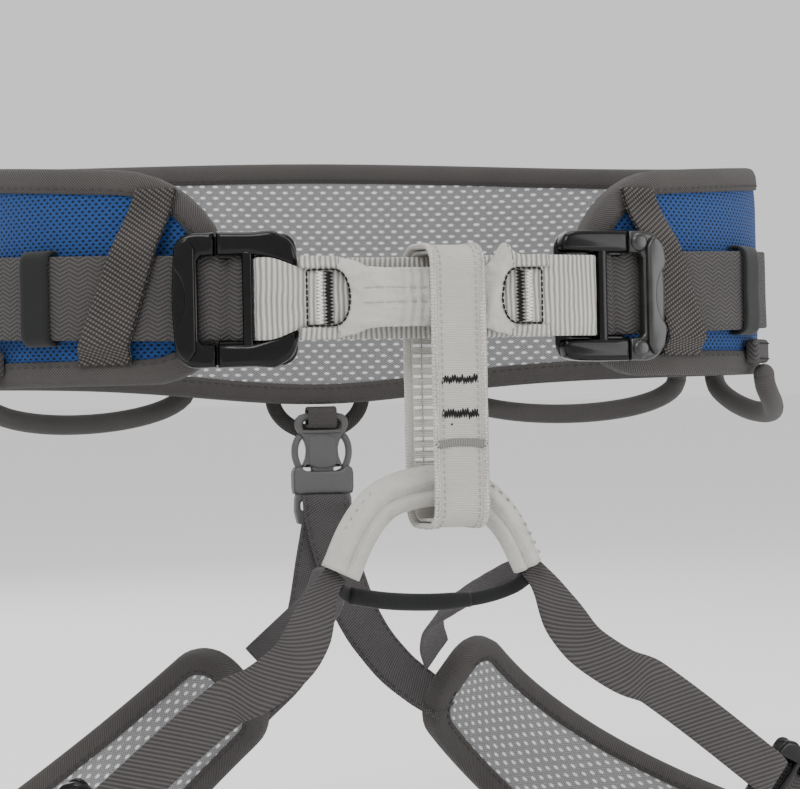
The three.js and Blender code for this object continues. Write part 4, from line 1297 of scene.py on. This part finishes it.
def add_belay_loop():
    body = "belay_loop"
    outer = belay_path(0.75, 6.2)
    Piece().strap(outer, 18.6, 1.5, RIGHTWARD, closed=True, ripple=0.16, columns=12).make(
        "belay_loop_webbing", "pale_plain", body, "belay_loop_outer")
    inner = belay_path(2.45, 4.6)
    Piece().strap(inner, 15.6, 1.3, RIGHTWARD, closed=True, ripple=0.1).make(
        "belay_loop_lining", "pale_plain", body, "belay_loop_inner")
    ring = belay_path(0, 6.8)
    middle = Vector((BELAY["x"], (BELAY["front"] + BELAY["back"]) / 2, -30))
    edge, pale, dark, lap = Piece(), Piece(), Piece(), Piece()
    outs = []
    for point, _, outward in stations_of(ring, RIGHTWARD, closed=True):
        if outward.dot(point - middle) < 0:
            outward = -outward
        outs.append(outward)
    for sign in (1, -1):
        hem = [p + RIGHTWARD * (sign * 8.5) - o * 0.35 for p, o in zip(ring, outs)]
        hem_frames = stations_of(hem, RIGHTWARD, closed=True)
        edge.sweep(hem_frames, round_section(2.3, 1.5, 8), closed=True, ripple=0.5, seed=sign * 4.0)
        for i in range(len(ring) - 1):
            p, out = ring[i], outs[i]
            after = ring[i + 1]
            stray = 0.5 * noise.noise(p * 0.7)
            a = p + RIGHTWARD * (sign * (7.5 + stray)) + out * 0.15
            b = after + RIGHTWARD * (sign * (9.4 + stray)) + out * 0.1
            c = after + RIGHTWARD * (sign * (7.5 - stray)) + out * 0.15
            edge.stitch(a, b, out, 0.26)
            edge.stitch(b, c, out, 0.26)
        seam = [p + RIGHTWARD * (sign * 6.1) + o * 0.02 for p, o in zip(ring, outs)]
        lap.seam(seam, outs, 1.5, 0.7, 0.2)
    front = BELAY["front"] + 0.05
    for z in (-28.2, -39.8):
        ends = [Vector((BELAY["x"] - 6.4, front, z)), Vector((BELAY["x"] + 6.2, front, z))]
        dark.zigzag(ends, UP, FORWARD, 1.55, 0.85, 0.25, wild=1.0)
    dot = Vector((BELAY["x"] - 3.6, front, -43.4))
    dark.stitch(dot, dot + RIGHTWARD * 0.8, FORWARD, 0.3)
    xs = [-9 + 18 * i / 12 for i in range(13)]
    fold = [Vector((BELAY["x"] + x, front - 0.25 - 0.1 * math.cos(x), -50.0 + 0.5 * math.cos(x * 0.25)))
            for x in xs]
    Piece().strap(fold, 2.7, 0.6, UP, columns=4).make("belay_loop_lap", "lap_grey", body)
    for k in range(13):
        z = -12.5 - 3.6 * k
        y = BELAY["back"] - 3.3
        for x0, x1 in ((-7.6, -4.9), (-4.3, 7.2)):
            rung = [Vector((belay_middle(y) + x, y, z)) for x in (x0, (x0 + x1) / 2, x1)]
            pale.sweep(stations_of(rung, UP), round_section(1.25, 0.9, 8))
        y = BELAY["back"] + 0.05
        a = Vector((belay_middle(y) - 6.4, y, z))
        pale.stitch(a, a + RIGHTWARD * 12.6, BACKWARD, 0.4)
    y = BELAY["back"] - 3.2
    lap.seam([Vector((belay_middle(y) - 4.6, y, z)) for z in (-10, -35, -60)], [FORWARD] * 3, 2.6, 0.5, 0.22)
    edge.make("belay_loop_hems", "pale_edge", body)
    pale.make("belay_loop_white_stitching", "white_thread", body)
    dark.make("belay_loop_bartacks", "black_thread", body)
    lap.make("belay_loop_seams", "grey_thread", body)


# ---- Lower bridge and elastic ----

BRIDGE_Y = -116
BRIDGE_WIDE = 6.1
BRIDGE_SIDES = 36
BRIDGE_HALF = ((9, -65.6), (18, -69.3), (26, -78.5), (33, -93))
BRIDGE = [(-x, z) for x, z in reversed(BRIDGE_HALF)] + [(0, -64.5)] + list(BRIDGE_HALF)


def add_bridge():
    """The bridge between the leg loops, in a padded sleeve with a fold along its front."""
    path = smooth_path([Vector((x, BRIDGE_Y, z)) for x, z in BRIDGE], 1.5)
    stations = [(point, outward, across) for point, across, outward in stations_of(path, FORWARD)]
    ring = []
    for k in range(BRIDGE_SIDES):
        angle = 2 * math.pi * k / BRIDGE_SIDES
        wide = BRIDGE_WIDE * math.cos(angle)
        tall = 4.9 * math.sin(angle)
        if math.sin(angle) > 0.2:
            tall -= 2.0 * bell(wide + 0.8, 0.9)
            tall += 0.5 * bell(wide - 2.4, 1.3)
        ring.append((wide, tall, BRIDGE_WIDE * angle))
    sleeve = Piece()
    sleeve.sweep(stations, ring, ripple=1.1, scale=lambda t, point: (1.16 - 0.3 * smoothstep(t, 0.5, 1), 1))
    sleeve.make("leg_bridge_cover", "sleeve", BODY, "leg_bridge_sleeve")
    core = Piece().strap(path, 2.4, 6.4, FORWARD, columns=3)
    core.make("leg_bridge_core", "herringbone", BODY, "leg_bridge_webbing")
    threads = Piece()
    line, outs = [], []
    for point, across, outward in stations:
        sign = 1 if across.z > 0 else -1
        out = (outward * 0.75 + across * sign * 0.65).normalized()
        line.append(point + across * (sign * 4.9) + outward * 3.1)
        outs.append(out)
    threads.seam(line, outs, 1.5, 2.0, 0.34)
    threads.make("leg_bridge_stitching", "grey_thread", BODY)
    add_elastic()


def add_elastic():
    y = BRIDGE_Y + 6
    sag = [(-18, -103.2), (-6, -104.4), (4, -104.6), (14, -104.2)]
    route = [(-29, -101)] + sag + [(23, -102.6), (30, -100.2)]
    points = [Vector((x, y, z)) for x, z in route]
    points = [Vector((-33.5, y - 4, -97.2))] + points + [Vector((33.8, y - 4, -96.8))]
    path = smooth_path(points, 1.5)
    Piece().sweep(stations_of(path, UP), round_section(4.8, 3.8, 12), ripple=0.25).make(
        "leg_elastic_cord", "elastic", BODY, "leg_elastic")
    path = smooth_path([Vector((x, y, z)) for x, z in [(-28.4, -101.2)] + sag], 1.5)
    Piece().sweep(stations_of(path, UP), round_section(6.0, 5.4, 14), ripple=0.5,
                  scale=lambda t, point: (1 - 0.12 * smoothstep(t, 0.8, 1), 1)).make(
        "leg_elastic_cover", "elastic", BODY, "leg_elastic_sleeve")


# ---- Rear buckle, risers and haul loop ----

REAR_Y = 105


def rear_place(x, z, level):
    """place(x, z, level) at the rear buckle, with level backwards."""
    return Vector((PAD_SHIFT + x, REAR_Y + level, z))


def add_rear():
    box = rounded_box(-3.9, -46.1, 3.9, -38.2, 1.8, 4)
    path = [Vector((PAD_SHIFT, REAR_Y + y, z)) for y, z in box]
    Piece().strap(path, 12.6, 1.5, RIGHTWARD, closed=True, columns=6).make(
        "rear_strap_loop", "twill", BODY, "rear_short_strap")

    male = Piece()
    half = [(7.4, -40.4), (9.6, -41.0), (11.2, -42.4), (11.9, -44.6), (11.5, -46.8), (10.2, -49.0),
            (8.8, -50.9), (7.7, -52.9), (7.1, -55.4), (7.1, -57.6), (7.5, -59.8), (8.3, -61.8),
            (9.0, -63.2), (9.0, -63.8), (5, -64), (5, -74)]
    outline = half + [(-x, z) for x, z in reversed(half)]
    slot = rounded_box(-8.4, -48.2, 8.4, -43.4, 2.1, 4)
    male.plate(outline, [slot], -2.2, 2.2, 1.3, rear_place, steps=4)
    male.plate(rounded_box(-8.8, -49.2, 8.8, -47.6, 0.7, 3), [], -2.8, 2.8, 0.6, rear_place)
    ridge = arc(0, -52.5, 6.6, 3, 0, 180, 8) + arc(0, -61.5, 6.8, 3, 180, 360, 8)
    ridge = [(x * (0.8 + 0.2 * abs(z + 57) / 7), z) for x, z in ridge]
    male.plate(ridge, [], -2.8, 2.8, 0.8, rear_place)
    male.make("rear_buckle_tongue", "plastic", BODY, "rear_buckle_male", sharp=50)

    prong = [(9.6, -50.2), (10.9, -52.2), (11.8, -55), (11.9, -58.5), (11.2, -61.5), (10.2, -64), (9.4, -67),
             (9.2, -71)]
    for side, name in SIDES:
        path = smooth_path([rear_place(side * x, z, 0) for x, z in prong], 0.9)
        prong_body = f"rear_buckle_prong_{name}"
        Piece().sweep(stations_of(path, BACKWARD), round_section(3.8, 3.1, 12)).make(
            f"rear_buckle_arm_{name}", "plastic", prong_body, prong_body, sharp=60)

    female = Piece()
    half = [(13.2, -69.2), (13.2, -66.4), (12.6, -64.4), (11.2, -63.4), (9.6, -63.6), (8.5, -64.9),
            (6.8, -65.6)]
    collar = half + [(-x, z) for x, z in reversed(half)]
    collar += arc(-10.4, -72.7, 2.8, 2.8, 180, 270, 4) + arc(10.4, -72.7, 2.8, 2.8, 270, 360, 4)
    for level in (2.0, -3.9):
        female.plate(collar, [], level, level + 1.9, 1.3, rear_place, steps=4)
    for sign in (1, -1):
        cheek = [(sign * x, z) for x, z in rounded_box(11.1, -75.5, 13.2, -64.4, 1.0, 3)]
        female.plate(cheek, [], -2.9, 2.9, 0.8, rear_place)
    lower = [(-11.6, -74.6), (-12.4, -77.5), (-12.6, -83), (-11.4, -88.2), (-8, -89), (8, -89), (11.4, -88.2),
             (12.6, -83), (12.4, -77.5), (11.6, -74.6)]
    female.plate(lower, [rounded_box(-10.2, -82.6, 10.2, -78.4, 1.2, 3)], -3.1, 3.1, 1.0, rear_place)
    female.make("rear_buckle_socket", "plastic", "rear_buckle_body", "rear_buckle_female", sharp=50)
    add_risers()

    path = [(19.5, -21)] + arc(0, -33, 19.5, 16, 0, -180, 18) + [(-19.5, -21)]
    points = smooth_path([waist.place(s, STRAP_BASE + 1.6, h) for s, h in path], 1.5)
    stations = [(p, o, a) for p, a, o in stations_of(points, BACKWARD)]
    Piece().sweep(stations, strap_section(6.5, 2.4, 5)).make(
        "haul_loop_strap", "dark_webbing", "haul_loop", "haul_loop")


def add_risers():
    """The two straps from the rear buckle to the leg loops, the wearer's left one in front."""
    xs, ys, zs = (0, 4, 11, 22, 35), (100, 91, 74, 57, 46), (-84, -104, -128, -145, -156)
    for side, name in SIDES:
        front = 2.9 if side > 0 else 0
        points = [Vector((PAD_SHIFT * (1 - i / 4) + side * xs[i], ys[i] - front, zs[i])) for i in range(5)]
        top = [Vector((PAD_SHIFT, 104.4 - front, -76.4)), Vector((PAD_SHIFT, 100.9 - front, -77.4))]
        end = [Vector((side * 43, 39 - front, -161.5))]
        path = smooth_path(top + points + end, 2.0)
        riser = Piece().strap(path, 19.6, 1.7, RIGHTWARD, ripple=0.25, columns=8)
        made = riser.make(f"riser_cloth_{name}", "riser_weave", BODY, f"riser_{name}")
        seams = Piece()
        frames = stations_of(path, RIGHTWARD)
        for offset in (8.4, -8.4):
            for face in (0.9, -0.9):
                line = [p + a * offset + o * face for p, a, o in frames]
                outs = [o * (1 if face > 0 else -1) for _, _, o in frames]
                seams.seam(line, outs, 2.4, 1.0, 0.22)
        threads = seams.make(f"riser_stitching_{name}", "slate_thread", BODY)
        for soft in (made, threads):
            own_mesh(soft)


# ---- Gear loops ----

GEAR_LOOPS = (("rear", 55, 150), ("side", 170, 258))
GEAR_OUT, GEAR_TOP, GEAR_DROP = 4.6, -28.2, 14.8


def add_gear_loops():
    for side, name in SIDES:
        for where, start, end in GEAR_LOOPS:
            half = (end - start) / 2
            flat = arc(0, 0, 1, 1, 0, -180, 12)
            points = [waist.place(side * (start + half * (1 + x)), STRAP_BASE + GEAR_OUT,
                                  GEAR_TOP + GEAR_DROP * y) for x, y in flat]
            path = smooth_path(points, 2.5)
            tube = Piece().sweep(stations_of(path, UP), round_section(8.4, 7.8, 16), ripple=0.1)
            for end_point in (path[0], path[-1]):
                tube.ball(end_point, 4.0)
            body = f"gear_loop_{where}_{name}"
            tube.make(f"gear_loop_tube_{where}_{name}", "tube", body, body)
            for end_name, s in (("rear", start), ("front", end)):
                add_gear_tab(side * s, f"{where}_{end_name}_{name}")


def add_gear_tab(s, name):
    """A folded patch that holds one end of a gear loop to the belt."""
    outline = rounded_box(s - 7, -24, s + 7, -15, 1.8, 4)
    place = lambda x, z, d: waist.place(x, d, z)
    Piece().plate(outline, [], STRAP_BASE, STRAP_BASE + 5, 1.6, place).make(
        f"gear_patch_{name}", "riser_weave", BODY, f"gear_tab_{name}", sharp=70)
    threads = Piece()
    top = STRAP_BASE + 5.05
    for z in (-22.4, -16.6):
        line = [waist.place(s + x, top, z) for x in (-5.4, -2.7, 0, 2.7, 5.4)]
        outward = waist.place(s, top + 1, z) - waist.place(s, top, z)
        threads.seam(line, [outward] * 5, 1.8, 0.8, 0.26)
    threads.make(f"gear_patch_stitching_{name}", "black_thread", BODY)


# ---- Leg loops ----

LEG_BASE = 9.7
LEG_SCALE = 0.7
LEG_BUCKLE_AT = 92
LEG_TAIL, LEG_WEBBING_END = 62, -120
leg = Loop(76, 86, 2, math.pi / 2)
LEG_TILT = Matrix.Rotation(math.radians(-14), 4, "X") @ Matrix.Rotation(math.radians(40), 4, "Y")
LEG_MATRIX = Matrix.Translation((92, -28, -172)) @ LEG_TILT

leg_buckle_place = buckle_place(leg, LEG_BUCKLE_AT, LEG_SCALE, LEG_BASE, 1)

leg_pad = Pad(
    start=-200, end=62,
    high=lambda s: 23 + 8 * bell(s + 60, 80),
    low=lambda s: -23 - 8 * bell(s + 60, 80),
    upper_round=18, lower_round=18, rim=BINDING, middle_count=48,
)


def leg_place(s, d, h):
    return LEG_MATRIX @ leg.place(s, d, h)


def add_legs():
    """Both leg loops: the wearer's right one is the left one mirrored."""
    under = lambda s, h: abs(h) < 9
    turned = lambda x, z, d: LEG_MATRIX @ leg_buckle_place(x, z, d)
    for side, name in SIDES:
        body = f"leg_loop_{name}"
        options = {"mirror": side < 0}
        pad_cover(f"leg_lining_cushion_{name}", leg_pad, leg_place, 0.4, 4.4, 12, "lining", body,
                  (f"leg_lining_{name}", f"leg_foam_{name}"), -1.6, **options)
        pad_cover(f"leg_outer_cushion_{name}", leg_pad, leg_place, 8.2, 4.5, 12, "blue", body,
                  (f"leg_shell_{name}",), 1.2, held_rows=under, **options)
        pad_rim(f"leg_edge_tape_{name}", leg_pad, leg_place, (-0.5, 9.3), "twill", body,
                f"leg_binding_{name}", **options)
        add_leg_straps(body, name, options)
        add_buckle(turned, "leg", name, body, f"leg_buckle_lever_{name}", **options)


def add_leg_straps(body, name, options):
    """The webbing round the pad, the front strap from the buckle to the bridge and the crotch strap."""
    flat = doubled_back(LEG_BUCKLE_AT, LEG_SCALE, LEG_BASE, LEG_TAIL)
    last, level = flat[-1]
    flat += [(last + (LEG_WEBBING_END - last) * i / 20, level) for i in range(1, 21)]
    points = smooth_path([leg_place(s, d, 0) for s, d in flat], 3)
    up = LEG_TILT @ UP
    Piece().strap(points, 20, 1.35, up, ripple=0.1).make(
        f"leg_belt_webbing_{name}", "herringbone", body, f"leg_webbing_{name}", **options)

    around = [(-17, 1.2), (-13, 1.3), (-11.6, 2.4), (-11.4, 5.5), (-11.6, 8.6), (-13, 9.9), (-21, 9.9)]
    start = [leg_buckle_place(x, 0, d) for x, d in around]
    run = ((-22, -104), (-32, -105.4), (-42, -106), (-50, -105.8), (-58, -105), (-64, -104), (-71, -103.6),
           (-77, -103.4), (-80.4, -104))
    sag = lambda x: smoothstep(-x, 14, 40) * (11 * smoothstep(-x, 48, 80) - 6)
    raised = [p + UP * sag(p.x) for p in start + [Vector((x, y, 0)) for x, y in run]]
    points = smooth_path([LEG_MATRIX @ p for p in raised], 1.6)
    gathered = lambda t, point: (1 - 0.5 * smoothstep(t, 0.8, 1), 1)
    Piece().strap(points, 16, 1.4, up, ripple=0.15, scale=gathered).make(
        f"leg_front_webbing_{name}", "slanted_rib", body, f"leg_front_strap_{name}", **options)

    inner = ((-80.2, -99.5), (-81, -91), (-83, -76), (-85, -50), (-86, -22), (-85.5, 6), (-80, 32),
             (-72.5, 50))
    lifted = [Vector((x, y, 5 * smoothstep(-y, 20, 95))) for x, y in inner]
    points = smooth_path([LEG_MATRIX @ p for p in lifted], 2.5)
    gathered = lambda t, point: (0.55 + 0.45 * smoothstep(t, 0, 0.2), 1)
    Piece().strap(points, 16, 1.6, up, ripple=0.2, scale=gathered).make(
        f"leg_crotch_webbing_{name}", "riser_weave", body, f"leg_inner_strap_{name}", **options)


# ---- The harness ----

add_camera()
add_studio()
add_waist()
add_waist_buckles()
add_tie_in()
add_belay_loop()
add_bridge()
add_rear()
add_gear_loops()
add_legs()

corners = {"cad": cad_bounds, "visual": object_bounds()}
{key: [[float(v) for v in corner] for corner in box] for key, box in corners.items()}
